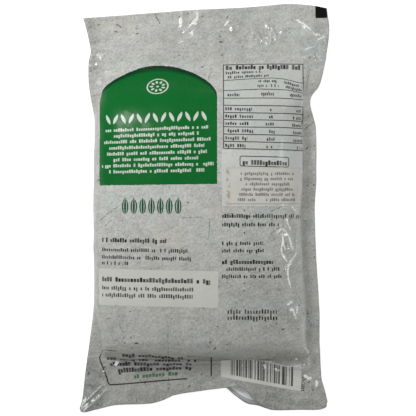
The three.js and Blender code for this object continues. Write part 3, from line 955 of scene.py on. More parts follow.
def grid_piece(name: str, points: Array, u: Array, v: Array, faces_up: bool) -> Piece:
    """Adds a grid primitive and moves its vertices to the given points.

    Args:
        name: The piece's name.
        points: Rows and columns of points, in millimetres.
        u: The flat film's coordinate across, for the piece's own UV map.
        v: The flat film's coordinate along.
        faces_up: Whether the faces point up.

    Returns:
        The piece, a single layer of faces.
    """
    rows, columns = points.shape[:2]
    deselect()
    bpy.ops.mesh.primitive_grid_add(x_subdivisions=columns - 1, y_subdivisions=rows - 1, size=1)
    piece = bpy.context.object
    piece.name = name
    mesh = piece.data
    mesh.name = name
    move_points(mesh, points * MM)
    flat = np.stack([u.ravel(), v.ravel()], axis=-1)
    corners = np.empty(len(mesh.loops), np.int32)
    mesh.loops.foreach_get("vertex_index", corners)
    layer = mesh.uv_layers[0]
    layer.name = "flat_film"
    layer.data.foreach_set("uv", flat[corners].astype(np.float32).ravel())
    mesh.update()
    if not faces_up:
        mesh.flip_normals()
    mesh.shade_smooth()
    return piece


def thicken(piece: Piece, thickness: float, inner_slot: int = 0) -> None:
    """Gives a layer its thickness, inwards from its face.

    Args:
        piece: The layer.
        thickness: In millimetres.
        inner_slot: How many material slots further on the inner face and rim are.
    """
    solidify = piece.modifiers.new("thickness", "SOLIDIFY")
    solidify.thickness = thickness * MM
    solidify.offset = -1
    solidify.material_offset = inner_slot
    solidify.material_offset_rim = inner_slot
    apply_modifiers(piece)


@dataclass
class PrintedFilms:
    """The back and front films, sealed to each other at the sides and the header."""

    form: BagForm
    relief: Relief
    maker: SheetMaker
    flat_size: Point = (0.170, 0.277)

    def creased(self, side: Side) -> Sheet:
        """Lays out one film with its creases.

        Args:
            side: Which film.

        Returns:
            The creased sheet.
        """
        sheet = self.maker.make(side)
        height = self.relief.stand_off(sheet, side)
        points = sheet.points + sheet.normals * height[..., None]
        points[..., 2] = np.maximum(points[..., 2], 0 if side is Side.FRONT else self.form.film)
        # Only the back film gets the painted highlight along crease crests.
        white = self.relief.painted_highlight(sheet) if side is Side.BACK else None
        return Sheet(points, Sheet.normals_of(points), sheet.u, sheet.v, sheet.q, white)

    def build(self, side: Side, sheet: Sheet) -> Piece:
        """Builds one film.

        Args:
            side: Which film.
            sheet: The creased sheet.

        Returns:
            The finished piece.
        """
        name = "back_film" if side is Side.BACK else "front_film"
        piece = grid_piece(name, sheet.points, sheet.u, sheet.v, side is Side.BACK)
        # The painted crest highlight goes to the film as its white attribute.
        if sheet.white is not None:
            white = piece.data.attributes.new("white", "FLOAT", "POINT")
            white.data.foreach_set("value", sheet.white.astype(np.float32).ravel())
        thicken(piece, self.form.film, inner_slot=1)
        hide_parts("back_panel" if side is Side.BACK else "front_panel")
        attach(piece, "root")
        return piece


@dataclass
class Gusset:
    """The white film folded between the printed films at the foot."""

    form: BagForm
    relief: Relief
    edge_inset: float = 0.5
    clearance: float = 0.06
    ends: float = 1.94
    columns: int = 150
    leg_rows: int = 34
    flat_size: Point = (0.166, 0.070)

    def leg(self, side: Side) -> tuple[Array, Array]:
        """Lays out one leg, from its foot up to the fold.

        Args:
            side: The film that the leg lies on.

        Returns:
            The points, and their distances from the foot's edge.
        """
        form = self.form
        q = np.repeat(np.linspace(-self.ends, self.ends, self.columns)[None], self.leg_rows, 0)
        share = np.linspace(0, 1, self.leg_rows)[:, None]
        x, _ = form.parting(q, np.full_like(q, -125.0))
        foot = form.bottom_edge(side)(x) + self.edge_inset
        y = mix(foot, form.gusset_fold - 1, share)
        face = form.face(q, y, side)
        normals = Sheet.normals_of(face)
        height = self.relief.carried(q, x, y)
        on_film = face + normals * (height - side.value * (form.film + self.clearance))
        at_fold = form.beside(q, y, side.value * 0.25) + normals * height
        near_fold = ramp(form.gusset_fold - 14, form.gusset_fold - 2, y)[..., None]
        return mix(on_film, at_fold, near_fold), y - foot

    def build(self) -> Piece:
        """Builds the folded film, with its distance from the sealed edge as v.

        Returns:
            The finished piece.
        """
        back, back_v = self.leg(Side.BACK)
        front, front_v = self.leg(Side.FRONT)
        fold = (back[-1:] + front[-1:]) / 2 + np.array([0, 0.8, 0])
        points = np.concatenate([back, fold, front[::-1]])
        v = np.concatenate([back_v, back_v[-1:] + 1, front_v[::-1]])
        piece = grid_piece("gusset_film", points, points[..., 0], v, True)
        thicken(piece, self.form.film)
        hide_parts("bottom_gusset")
        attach(piece, "root")
        return piece


@dataclass
class Zip:
    """The two halves of the press-to-close strip, inside the films below the header seal."""

    form: BagForm
    relief: Relief
    middle: float = 100.0
    width: float = 8.0
    flange: float = 0.2
    ridge: float = 0.5
    ends: float = 1.85
    columns: int = 120

    def build(self) -> list[Piece]:
        """Builds both halves: one ridge on the back one, a groove between two on the front one.

        Returns:
            The back half and the front half.
        """
        return [
            self.half("zip_back", "zip_track_back", Side.BACK, ((-0.7, 0.7),)),
            self.half("zip_front", "zip_track_front", Side.FRONT, ((-2.1, -1.1), (1.1, 2.1))),
        ]

    def half(self, name: str, node: str, side: Side, ridges: tuple[Point, ...]) -> Piece:
        """Builds one half as a closed strip with ridges on its inner face.

        Args:
            name: The piece's name.
            node: The frame's node that it stands for.
            side: The film that it is welded to.
            ridges: Where the ridges run, as distances from the strip's middle line.

        Returns:
            The finished piece.
        """
        edges = [edge for low, high in ridges for edge in (low - 0.1, low, high, high + 0.1)]
        across = np.array([-self.width / 2, *edges, self.width / 2])
        q = np.repeat(np.linspace(-self.ends, self.ends, self.columns)[None], len(across), 0)
        y = self.middle + np.repeat(across[:, None], self.columns, 1)
        crushed = 1 - ramp(1, 1.4, np.abs(q))
        tall = np.array([any(a <= c <= b for a, b in ridges) for c in across], float)
        reach = self.form.half_space(q, y, side) - 0.05
        thickness = np.minimum(self.flange, reach * 0.8) + self.ridge * tall[:, None] * crushed
        outer = self.form.beside(q, y, side.value * reach)
        inner = self.form.beside(q, y, side.value * (reach - thickness))
        lift = Sheet.normals_of(outer) * self.relief.carried(q, outer[..., 0], y)
        outer, inner = outer + lift, inner + lift
        ring = np.concatenate([outer, inner[::-1], outer[:1]])
        piece = grid_piece(name, ring, ring[..., 0], ring[..., 1], side is Side.BACK)
        self.close(piece)
        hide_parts(node)
        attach(piece, "root")
        return piece

    def close(self, piece: Piece) -> None:
        """Merges the strip's long joint and fills its two ends."""
        select(piece)
        bpy.ops.object.mode_set(mode="EDIT")
        bpy.ops.mesh.select_all(action="SELECT")
        bpy.ops.mesh.remove_doubles(threshold=0.002 * MM)
        bpy.ops.mesh.select_all(action="DESELECT")
        bpy.ops.mesh.select_mode(type="EDGE")
        bpy.ops.mesh.select_non_manifold()
        bpy.ops.mesh.edge_face_add()
        bpy.ops.object.mode_set(mode="OBJECT")
        bpy.ops.object.shade_flat()


@dataclass
class Label:
    """The small paper label stuck on the back film, bent over its shoulder."""

    film: Sheet
    left: float = 14.7
    right: float = 64.4
    bottom: float = 2.9
    top: float = 27.0
    paper: float = 0.12
    above: float = 0.05
    columns: int = 96
    rows: int = 48
    curl: float = 0.5
    flat_size: Point = (0.0515, 0.0245)

    def build(self) -> Piece:
        """Builds the label on the creased film.

        Returns:
            The finished piece, with millimetres from its middle as its UV map.
        """
        middle = (self.bottom + self.top) / 2
        corners = self.film.flat(np.array([self.left, self.right]), middle)
        u = np.linspace(corners[0], corners[1], self.columns)
        y = np.linspace(self.bottom, self.top, self.rows)
        points, normals = self.film.on(u, y)
        u_map = np.repeat((u - u.mean())[None], self.rows, 0)
        v_map = np.repeat((y - middle)[:, None], self.columns, 1)
        far_across, far_along = (np.abs(part / part.max()) for part in (u_map, v_map))
        corner = ramp(0.9, 1, far_across) * ramp(0.8, 1, far_along)
        lift = self.above + self.paper + self.curl * corner
        points = points + normals * lift[..., None]
        piece = grid_piece("label", points, u_map, v_map, True)
        thicken(piece, self.paper)
        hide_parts("paper_label")
        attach(piece, "root")
        return piece


@dataclass
class Gourds:
    """The frozen gourds inside, one for each of the frame's."""

    segments: int = 20
    rings: int = 15
    bow: float = 0.07
    ribs: int = 5
    rib: float = 0.02

    def build(self) -> list[Piece]:
        """Models one gourd and places a copy of it where each of the frame's gourds lies.

        Returns:
            The gourds.
        """
        template = self.template()
        names = sorted(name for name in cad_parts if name.startswith("gourd_"))
        made = [self.place(template, name) for name in names]
        bpy.data.objects.remove(template)
        return made

    def template(self) -> Piece:
        """Models a gourd of length 2 and radius 1 along X, with a dent at each end.

        Returns:
            The gourd, not yet placed.
        """
        deselect()
        size = {"segments": self.segments, "ring_count": self.rings, "radius": 1}
        bpy.ops.mesh.primitive_uv_sphere_add(**size)
        piece = bpy.context.object
        mesh = piece.data
        points = points_of(mesh)
        along = np.clip(points[:, 2], -1, 1)
        angle = np.arctan2(points[:, 1], points[:, 0])
        blunt = np.sqrt(1 - np.abs(along) ** 2.5) * mix(0.92, 1, ramp(-1, 0, along))
        radius = blunt * (1 - self.rib * (1 - np.cos(self.ribs * angle)))
        dent = 0.06 * np.exp(-((radius / 0.3) ** 2)) * np.sign(along)
        bowed = self.bow * (0.5 - along * along)
        across, rise = radius * np.cos(angle) * 0.93 + bowed, radius * np.sin(angle) * 0.93
        move_points(mesh, np.stack([along - dent, across, rise], axis=-1))
        mesh.uv_layers[0].name = "skin"
        bpy.ops.object.mode_set(mode="EDIT")
        bpy.ops.mesh.select_all(action="SELECT")
        bpy.ops.mesh.normals_make_consistent(inside=False)
        bpy.ops.object.mode_set(mode="OBJECT")
        bpy.ops.object.shade_smooth()
        return piece

    def place(self, template: Piece, name: str) -> Piece:
        """Copies the gourd onto one of the frame's gourds.

        Args:
            template: The gourd to copy.
            name: The frame's node.

        Returns:
            The placed gourd.
        """
        solid = points_of(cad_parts[name].data)
        axes = np.linalg.svd(solid - solid.mean(0), full_matrices=False)[2]
        axes[2] = np.cross(axes[0], axes[1])
        reach = (solid - solid.mean(0)) @ axes.T
        half = (reach.max(0) - reach.min(0)) / 2
        middle = solid.mean(0) + ((reach.max(0) + reach.min(0)) / 2) @ axes
        mesh = template.data.copy()
        move_points(mesh, (points_of(mesh) * half) @ axes + middle)
        piece = bpy.data.objects.new(f"whole_{name}", mesh)
        bpy.context.scene.collection.objects.link(piece)
        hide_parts(name)
        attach(piece, "root")
        return piece


Socket = bpy.types.NodeSocket
Colour = tuple[float, float, float, float]
ORIGIN = (0.0, 0.0, 0.0)


def arithmetic(operation: str) -> Callable[["Value", "Feed"], "Value"]:
    """Gives the method behind one of Python's signs, which adds a Math node."""
    return lambda value, other: value.wiring.math(operation, value, other)


class Value:
    """What a node gives. Python's signs work on it, and a comparison gives 1 or 0."""

    def __init__(self, wiring: "Wiring", socket: Socket) -> None:
        """Keeps the socket and the wiring that it is in."""
        self.wiring = wiring
        self.socket = socket

    def other(self, output: str | int) -> "Value":
        """Gives another output of the same node."""
        return Value(self.wiring, self.socket.node.outputs[output])

    __add__ = __radd__ = arithmetic("ADD")
    __sub__ = arithmetic("SUBTRACT")
    __mul__ = arithmetic("MULTIPLY")
    __truediv__ = arithmetic("DIVIDE")
    __gt__ = arithmetic("GREATER_THAN")
    __lt__ = arithmetic("LESS_THAN")

    def __rsub__(self, other: float) -> "Value":
        """Subtracts from a number."""
        return self.wiring.math("SUBTRACT", other, self)

    def __abs__(self) -> "Value":
        """Drops the sign."""
        return self.wiring.math("ABSOLUTE", self)


Feed = Value | float | tuple


class Wiring:
    """Adds and links the nodes of one material or node group."""

    def __init__(self, tree: Tree) -> None:
        """Starts on a tree."""
        self.tree = tree

    def feed(self, socket: Socket, value: Feed) -> None:
        """Links a socket, or sets it to a plain value."""
        if isinstance(value, Value):
            self.tree.links.new(value.socket, socket)
        else:
            socket.default_value = value

    def node(
        self, kind: str, feeds: dict[str | int, Feed], output: str | int = 0, **settings: object
    ) -> Value:
        """Adds a shader node.

        Args:
            kind: The node's type, without its prefix.
            feeds: What goes into its inputs, by name or by number.
            output: Which output to give.
            settings: The node's own settings.

        Returns:
            The output's value.
        """
        node = self.tree.nodes.new(f"ShaderNode{kind}")
        for name, setting in settings.items():
            setattr(node, name, setting)
        for name, value in feeds.items():
            self.feed(node.inputs[name], value)
        return Value(self, node.outputs[output])

    def math(self, operation: str, *values: Feed, clamped: bool = False) -> Value:
        """Adds a Math node."""
        return self.node("Math", dict(enumerate(values)), operation=operation, use_clamp=clamped)

    def vector_math(self, operation: str, *values: Feed) -> Value:
        """Adds a Vector Math node. Gives its number where the operation has one."""
        output = "Value" if operation in ("LENGTH", "DOT_PRODUCT") else "Vector"
        return self.node("VectorMath", dict(enumerate(values)), output, operation=operation)

    def scaled(self, vector: Feed, by: Feed) -> Value:
        """Scales a vector by a number."""
        return self.node("VectorMath", {0: vector, "Scale": by}, "Vector", operation="SCALE")

    def most(self, first: Feed, *others: Feed) -> Feed:
        """Gives the greatest of the values."""
        for other in others:
            first = self.math("MAXIMUM", first, other)
        return first

    def near(self, value: Feed, middle: Feed, reach: Feed) -> Value:
        """Gives 1 where value lies within reach of middle, and 0 elsewhere."""
        return self.math("COMPARE", value, middle, reach)

    def between(self, value: Value, low: Feed, high: Feed) -> Value:
        """Gives 1 where value lies between low and high, and 0 elsewhere."""
        return (value > low) * (value < high)

    def split(self, vector: Feed) -> tuple[Value, Value, Value]:
        """Takes a vector apart."""
        x = self.node("SeparateXYZ", {0: vector})
        return x, x.other(1), x.other(2)

    def join(self, x: Feed, y: Feed, z: Feed = 0.0) -> Value:
        """Puts a vector together."""
        return self.node("CombineXYZ", {0: x, 1: y, 2: z})

    def placed(self, vector: Feed, scale: tuple, turn: float = 0.0) -> Value:
        """Turns a vector by degrees about Z, and divides it by a scale."""
        feeds = {"Vector": vector, "Rotation": (0, 0, math.radians(turn)), "Scale": scale}
        return self.node("Mapping", feeds, vector_type="TEXTURE")

    def noise(self, at: Feed, size: float, detail: float = 2.0, rough: float = 0.5) -> Value:
        """Adds a Noise texture with features of a size in millimetres."""
        feeds = {"Vector": at, "Scale": 1 / size, "Detail": detail, "Roughness": rough}
        return self.node("TexNoise", feeds, "Fac", noise_dimensions="3D")

    def clouds(
        self, at: Feed, size: float, detail: float, rough: float, low: float = 0, high: float = 1
    ) -> Value:
        """Adds noise that goes from low to high."""
        return self.step(self.noise(at, size, detail, rough), 0.3, 0.7, low, high)

    def jittered(self, at: Feed, size: float, far: float) -> Value:
        """Moves positions about by a noise, so that lines drawn with them aren't straight."""
        centred = self.vector_math("SUBTRACT", self.noise(at, size).other("Color"), (0.5, 0.5, 0.5))
        return self.vector_math("ADD", at, self.scaled(centred, far))

    def cells(self, at: Feed, size: float, feature: str = "F1") -> Value:
        """Adds a flat Voronoi texture with cells of a size in millimetres."""
        feeds = {"Vector": at, "Scale": 1 / size}
        settings = {"feature": feature, "voronoi_dimensions": "2D"}
        return self.node("TexVoronoi", feeds, "Distance", **settings)

    def random(self, x: Feed, y: Feed, z: Feed = 0.0) -> tuple[Value, Value, Value]:
        """Gives three random numbers for the whole numbers x, y and z."""
        feeds = {"Vector": self.join(x, y, z)}
        return self.split(self.node("TexWhiteNoise", feeds, "Color", noise_dimensions="3D"))

    def step(
        self, value: Feed, low: float, high: float, at_low: float = 0, at_high: float = 1
    ) -> Value:
        """Goes smoothly from at_low where value is low to at_high where it is high."""
        names = ("Value", "From Min", "From Max", "To Min", "To Max")
        feeds = dict(zip(names, (value, low, high, at_low, at_high)))
        return self.node("MapRange", feeds, "Result", interpolation_type="SMOOTHSTEP")

    def blend(self, share: Feed, a: Feed, b: Feed, blend_type: str = "MIX") -> Value:
        """Mixes two colours."""
        feeds = {"Factor": share, 6: a, 7: b}
        return self.node("Mix", feeds, 2, data_type="RGBA", blend_type=blend_type)

    def grouped(self, tree: Tree, **values: Feed) -> Value:
        """Places a node group. Each input's name is its socket's in lower case."""
        feeds = {name.capitalize(): value for name, value in values.items()}
        return self.node("Group", feeds, node_tree=tree)

    def bump(self, height: Value, depth: float, normal: Value | None = None) -> Value:
        """Adds a Bump node of a depth in millimetres."""
        feeds = {"Distance": depth * MM, "Height": height}
        return self.node("Bump", feeds if normal is None else feeds | {"Normal": normal})


def srgb(red: float, green: float, blue: float) -> Colour:
    """Turns a colour as seen on a screen, from 0 to 255, into a shader's colour."""
    parts = [part / 255 for part in (red, green, blue)]
    linear = [p / 12.92 if p <= 0.04045 else ((p + 0.055) / 1.055) ** 2.4 for p in parts]
    return (*linear, 1.0)


class Group(Wiring):
    """The wiring of a node group. Its first input is the position in millimetres."""

    def __init__(self, name: str, **inputs: float | tuple) -> None:
        """Starts the group.

        Args:
            name: The group's name.
            inputs: Each further input's default: three numbers for a vector, four for a colour.
        """
        super().__init__(bpy.data.node_groups.new(name, "ShaderNodeTree"))
        for label, default in {"position": ORIGIN, **inputs}.items():
            size = len(default) if isinstance(default, tuple) else 1
            socket = self.socket(label, "INPUT", {1: "Float", 3: "Vector", 4: "Color"}[size])
            socket.default_value = default
        entry = self.tree.nodes.new("NodeGroupInput")
        self.given = [Value(self, socket) for socket in entry.outputs if socket.name]

    def socket(self, label: str, way: str, kind: str) -> bpy.types.NodeTreeInterfaceSocket:
        """Adds an input or an output."""
        socket_type = f"NodeSocket{kind}"
        label = label.capitalize()
        return self.tree.interface.new_socket(label, in_out=way, socket_type=socket_type)

    def finish(self, **outputs: Value) -> Tree:
        """Feeds the outputs: a colour where one is named so, and numbers elsewhere."""
        for label in outputs:
            self.socket(label, "OUTPUT", "Color" if label == "colour" else "Float")
        out = self.tree.nodes.new("NodeGroupOutput")
        for label, value in outputs.items():
            self.feed(out.inputs[label.capitalize()], value)
        return self.tree


class Effects:
    """The node groups that several finishes use."""

    def __init__(self) -> None:
        """Builds each group once."""
        # The plaster print also carries painted shade and painted light.
        self.plaster = self.make_plaster_and_painted_shade()
        self.marks = self.make_marks()
        self.shapes = self.make_shapes()
        self.slice = self.make_slice()
        self.box = self.make_box()
        self.crinkle = self.make_crinkle()
        self.rubbed = self.make_rubbed()

    def make_plaster_and_painted_shade(self) -> Tree:
        """Builds the print of pale, scraped plaster that covers the films, with painted shade and
        painted light over it.

        Returns:
            The group.
        """
        w = Group("plaster print", tone=srgb(190, 191, 186))
        at, tone = w.given
        x, y, _ = w.split(at)
        scrapes = w.noise(w.placed(at, (5.0, 0.8, 1), 38), 1, 2, 0.6)
        counter = w.noise(w.placed(at, (4.0, 0.9, 1), -32), 1, 2, 0.6)
        # First painted shade and light: darker towards the foot, the right, the left edge and the
        # header, lighter over the right shoulder. Then the print's clouds, grain and scrapes.
        light = (
            w.step(y, 20, -60, 0, -0.07)
            + w.step(y, -92, -130, 0, -0.13)
            + w.step(x + y * -0.25, 0, 80, 0, -0.11)
            + w.step(x, 48, 66, 0, 0.13)
            + w.step(x, -68, -80, 0, -0.17)
            + w.step(y, 100, 112, 0, -1) * w.step(x, 50, 10, 0.055, 0.1)
            + w.clouds(at, 34, 3, 0.55, 0.955, 1.035)
            + w.clouds(at, 7.5, 3, 0.6, -0.07, 0.07)
            + w.clouds(w.placed(at, (14, 3.2, 1), 6), 1, 2, 0.5, -0.05, 0.05)
            + w.step(w.noise(at, 1.5, 3, 0.75), 0.25, 0.75, -0.2, 0.2)
            + w.step(scrapes, 0.5, 0.72, 0, -0.15)
            + w.step(scrapes, 0.48, 0.28, 0, 0.11)
            + w.step(counter, 0.54, 0.74, 0, -0.1)
        )
        cool = w.step(w.noise(at, 26, 1), 0.5, 0.68, 0, 0.35)
        tone = w.blend(cool, tone, srgb(178, 188, 184))
        warm = w.step(w.noise(w.placed(at, (1, 1, 1), 71), 30, 1), 0.52, 0.7, 0, 0.5)
        tone = w.blend(warm, tone, srgb(190, 187, 178))
        tone = w.blend(1.0, tone, w.join(light, light, light), "MULTIPLY")
        dark = w.most(self.pits(w, at), self.cracks(w, at))
        return w.finish(colour=w.blend(dark, tone, srgb(78, 80, 76)))

    def pits(self, w: Wiring, at: Value) -> Value:
        """Gives the dark pits of the plaster: round ones, and longer ones along the scrapes."""
        patches = w.step(w.noise(at, 21, 1), 0.42, 0.62, 0.35, 1)
        spots = []
        for scale, size, share, widest, turn in (
            ((1, 1, 1), 5.4, 0.54, 0.11, 0),
            ((2.6, 1, 1), 4.6, 0.62, 0.105, 38),
            ((2.2, 0.8, 1), 6.4, 0.68, 0.11, 8),
        ):
            distance = w.cells(w.placed(at, scale, turn), size)
            red, green, _ = w.split(distance.other("Color"))
            radius = w.step(red, share, 1, 0, widest) * patches
            spots.append((distance < radius) * w.step(green, 0, 1, 0.35, 0.95))
        return w.most(*spots)

    def cracks(self, w: Wiring, at: Value) -> Value:
        """Gives broken thin cracks."""
        wander = w.vector_math("ADD", at, w.scaled(w.noise(at, 6).other("Color"), 6.0))
        edge = w.cells(wander, 46, "DISTANCE_TO_EDGE")
        return w.step(edge, 0.006, 0.002) * w.step(w.noise(at, 12, 2), 0.55, 0.66, 0, 0.75)

    def make_marks(self) -> Tree:
        """Builds rows of small upright marks with gaps as between words. They spell nothing.

        Place holds the rows' left end, top and length. Row holds a row's pitch, its marks' height
        and their width. Style holds how ragged the rows are, how far they are centred (2 is flush
        right), and how wide the ink is in a mark.

        Returns:
            The group.
        """
        w = Group(
            "rows of marks", place=(0.0, 0.0, 20.0), row=(4.0, 2.0, 1.3), style=(0.2, 0.0, 0.7),
            count=99.0,
        )
        at, place, sizes, style, count = w.given
        x, y, _ = w.split(at)
        left, top, width = w.split(place)
        pitch, height, mark_width = w.split(sizes)
        ragged, centred, weight = w.split(style)
        down = top - y
        row = w.math("FLOOR", down / pitch)
        share = (down - row * pitch) / height
        shorter = w.random(row, top)[0] * ragged * width
        reach = x - left - shorter * 0.5 * centred
        along = reach / mark_width
        mark = w.math("FLOOR", along)
        gap, tall, dark = w.random(mark, row, top)
        upper, lower = w.step(tall, 0.58, 0.6, 0.27, 0), w.step(tall, 0.12, 0.1, 1.0, 1.3)
        used = w.between(reach, 0.0, width - shorter) * w.between(row, -0.5, count - 0.5)
        ink = w.between(share, upper, lower) * w.between(along - mark, 0.06, weight)
        return w.finish(ink=used * ink * (gap > 0.15) * w.step(dark, 0, 1, 0.8, 1))

    def make_shapes(self) -> Tree:
        """Builds a row of pointed leaves or of striped gourds.

        Place holds the row's left end, its middle's height and its pitch. Size holds a shape's half
        width and half height, and how pointed it is. Style holds the lean, the stripes' share and
        the count.

        Returns:
            The group.
        """
        w = Group(
            "row of shapes", place=(0.0, 0.0, 6.0), size=(1.5, 4.0, 0.5), style=(0.0, 0.0, 5.0)
        )
        at, place, size, style = w.given
        x, y, _ = w.split(at)
        left, middle, pitch = w.split(place)
        half_width, half_height, pointed = w.split(size)
        lean, stripes, count = w.split(style)
        along, off_y = x - left, y - middle
        cell = w.math("FLOOR", along / pitch)
        sign = 1.0 - w.math("FLOORED_MODULO", cell, 2.0) * 2.0
        side = abs(along - (cell + 0.5) * pitch + sign * lean * off_y)
        share = off_y / half_height
        reach = w.math("POWER", w.most(1.0 - share * share, 0.0), pointed) * half_width
        stripe = w.near(side / reach, 0.45, 0.12)
        body = (side < reach) * (1.0 - stripe * stripes)
        stalk = (side < 0.3) * w.between(share, 0.99, 1.2) * stripes
        return w.finish(ink=w.most(body, stalk) * w.between(cell, -0.5, count - 0.5))

    def make_slice(self, seeds: int = 9, seed: tuple = (0.56, 0.11, 0.17)) -> Tree:
        """Builds a drawing of a gourd's slice: a ring with seeds round its middle.

        Args:
            seeds: How many seeds it has.
            seed: Where a seed lies, half its width and half its length, in shares of the radius.

        Returns:
            The group.
        """
        w = Group("gourd slice", middle=ORIGIN, radius=7.0)
        at, middle, radius = w.given
        x, y, _ = w.split(w.vector_math("SUBTRACT", at, middle))
        far = w.math("SQRT", x * x + y * y) / radius
        turn = w.math("ARCTAN2", y, x) * (seeds / math.tau)
        aside = (w.math("FRACT", turn) - 0.5) * far * (math.tau / seeds / seed[1])
        outwards = (far - seed[0]) / seed[2]
        drawn = aside * aside + outwards * outwards < 1.0
        return w.finish(ink=w.most(w.between(far, 0.88, 1.0), drawn, far < 0.12))

    def make_box(self) -> Tree:
        """Builds a box with round corners, filled and as an outline.

        Returns:
            The group.
        """
        w = Group(
            "round box", middle=ORIGIN, half=(10.0, 5.0, 0.0), corner=1.0, line=0.4, edge=0.12
        )
        at, middle, half, corner, line, edge = w.given
        off = w.vector_math("ABSOLUTE", w.vector_math("SUBTRACT", at, middle))
        x, y, _ = w.split(w.vector_math("SUBTRACT", off, half))
        x, y = x + corner, y + corner
        outside_x, outside_y = w.most(x, 0.0), w.most(y, 0.0)
        far = w.math("SQRT", outside_x * outside_x + outside_y * outside_y)
        distance = far + w.math("MINIMUM", w.most(x, y), 0.0) - corner
        half_line = line * 0.5
        from_line = abs(distance + half_line) - half_line
        return w.finish(
            fill=w.step(distance / edge, 1, -1), outline=w.step(from_line / edge, 1, -1)
        )

    def make_crinkle(self) -> Tree:
        """Builds the fine crinkle of handled film, as a height from 0 to 1.

        Returns:
            The group.
        """
        w = Group("film crinkle", size=6.0)
        position, size = w.given
        at = w.scaled(position, w.math("DIVIDE", 1.0, size))
        ridged = abs(w.noise(at, 1, 3, 0.6) - 0.5)
        return w.finish(height=ridged * -1.6 + w.cells(at, 0.9) * 0.25 + 0.8)

    def make_rubbed(self) -> Tree:
        """Builds the share of a surface that handling has rubbed duller.

        Returns:
            The group.
        """
        w = Group("rubbed patches", size=18.0)
        position, size = w.given
        at = w.scaled(position, w.math("DIVIDE", 1.0, size))
        streaks = w.noise(w.placed(at, (1.2, 0.08, 1), -24), 1, 2)
        both = w.noise(at, 1, 4, 0.65) * 0.65 + streaks * 0.35
        return w.finish(share=w.step(both, 0.42, 0.62))


class Ink(Enum):
    """The print's inks."""

    BLACK = srgb(7, 7, 5)
    GREEN = srgb(0, 102, 38)
    DARK_GREEN = srgb(0, 54, 26)
    TEAL = srgb(0, 80, 50)
    PALE = srgb(214, 222, 212)
    PAPER = srgb(206, 206, 200)
    PATCH = srgb(212, 217, 213)
    TABLE = srgb(198, 203, 199)
    BAR_GREY = srgb(220, 220, 214)
    RED_BROWN = srgb(92, 40, 28)


@dataclass(frozen=True)
class Rows:
    """Rows of marks: left, right, the first row's top, and the rows' sizes in millimetres."""

    left: float
    right: float
    top: float
    height: float
    mark: float
    rows: int = 1
    pitch: float = 5.0
    ragged: float = 0.0
    centred: float = 0.0
    weight: float = 0.74


@dataclass(frozen=True)
class Patch:
    """A box of one ink, filled or drawn as a line."""

    left: float
    right: float
    bottom: float
    top: float
    ink: Ink
    corner: float = 0.3
    share: float = 1.0
    line: float = 0.0


@dataclass(frozen=True)
class Stroke:
    """A thin dark line drawn on the film."""

    start: Point
    end: Point
    width: float = 0.3


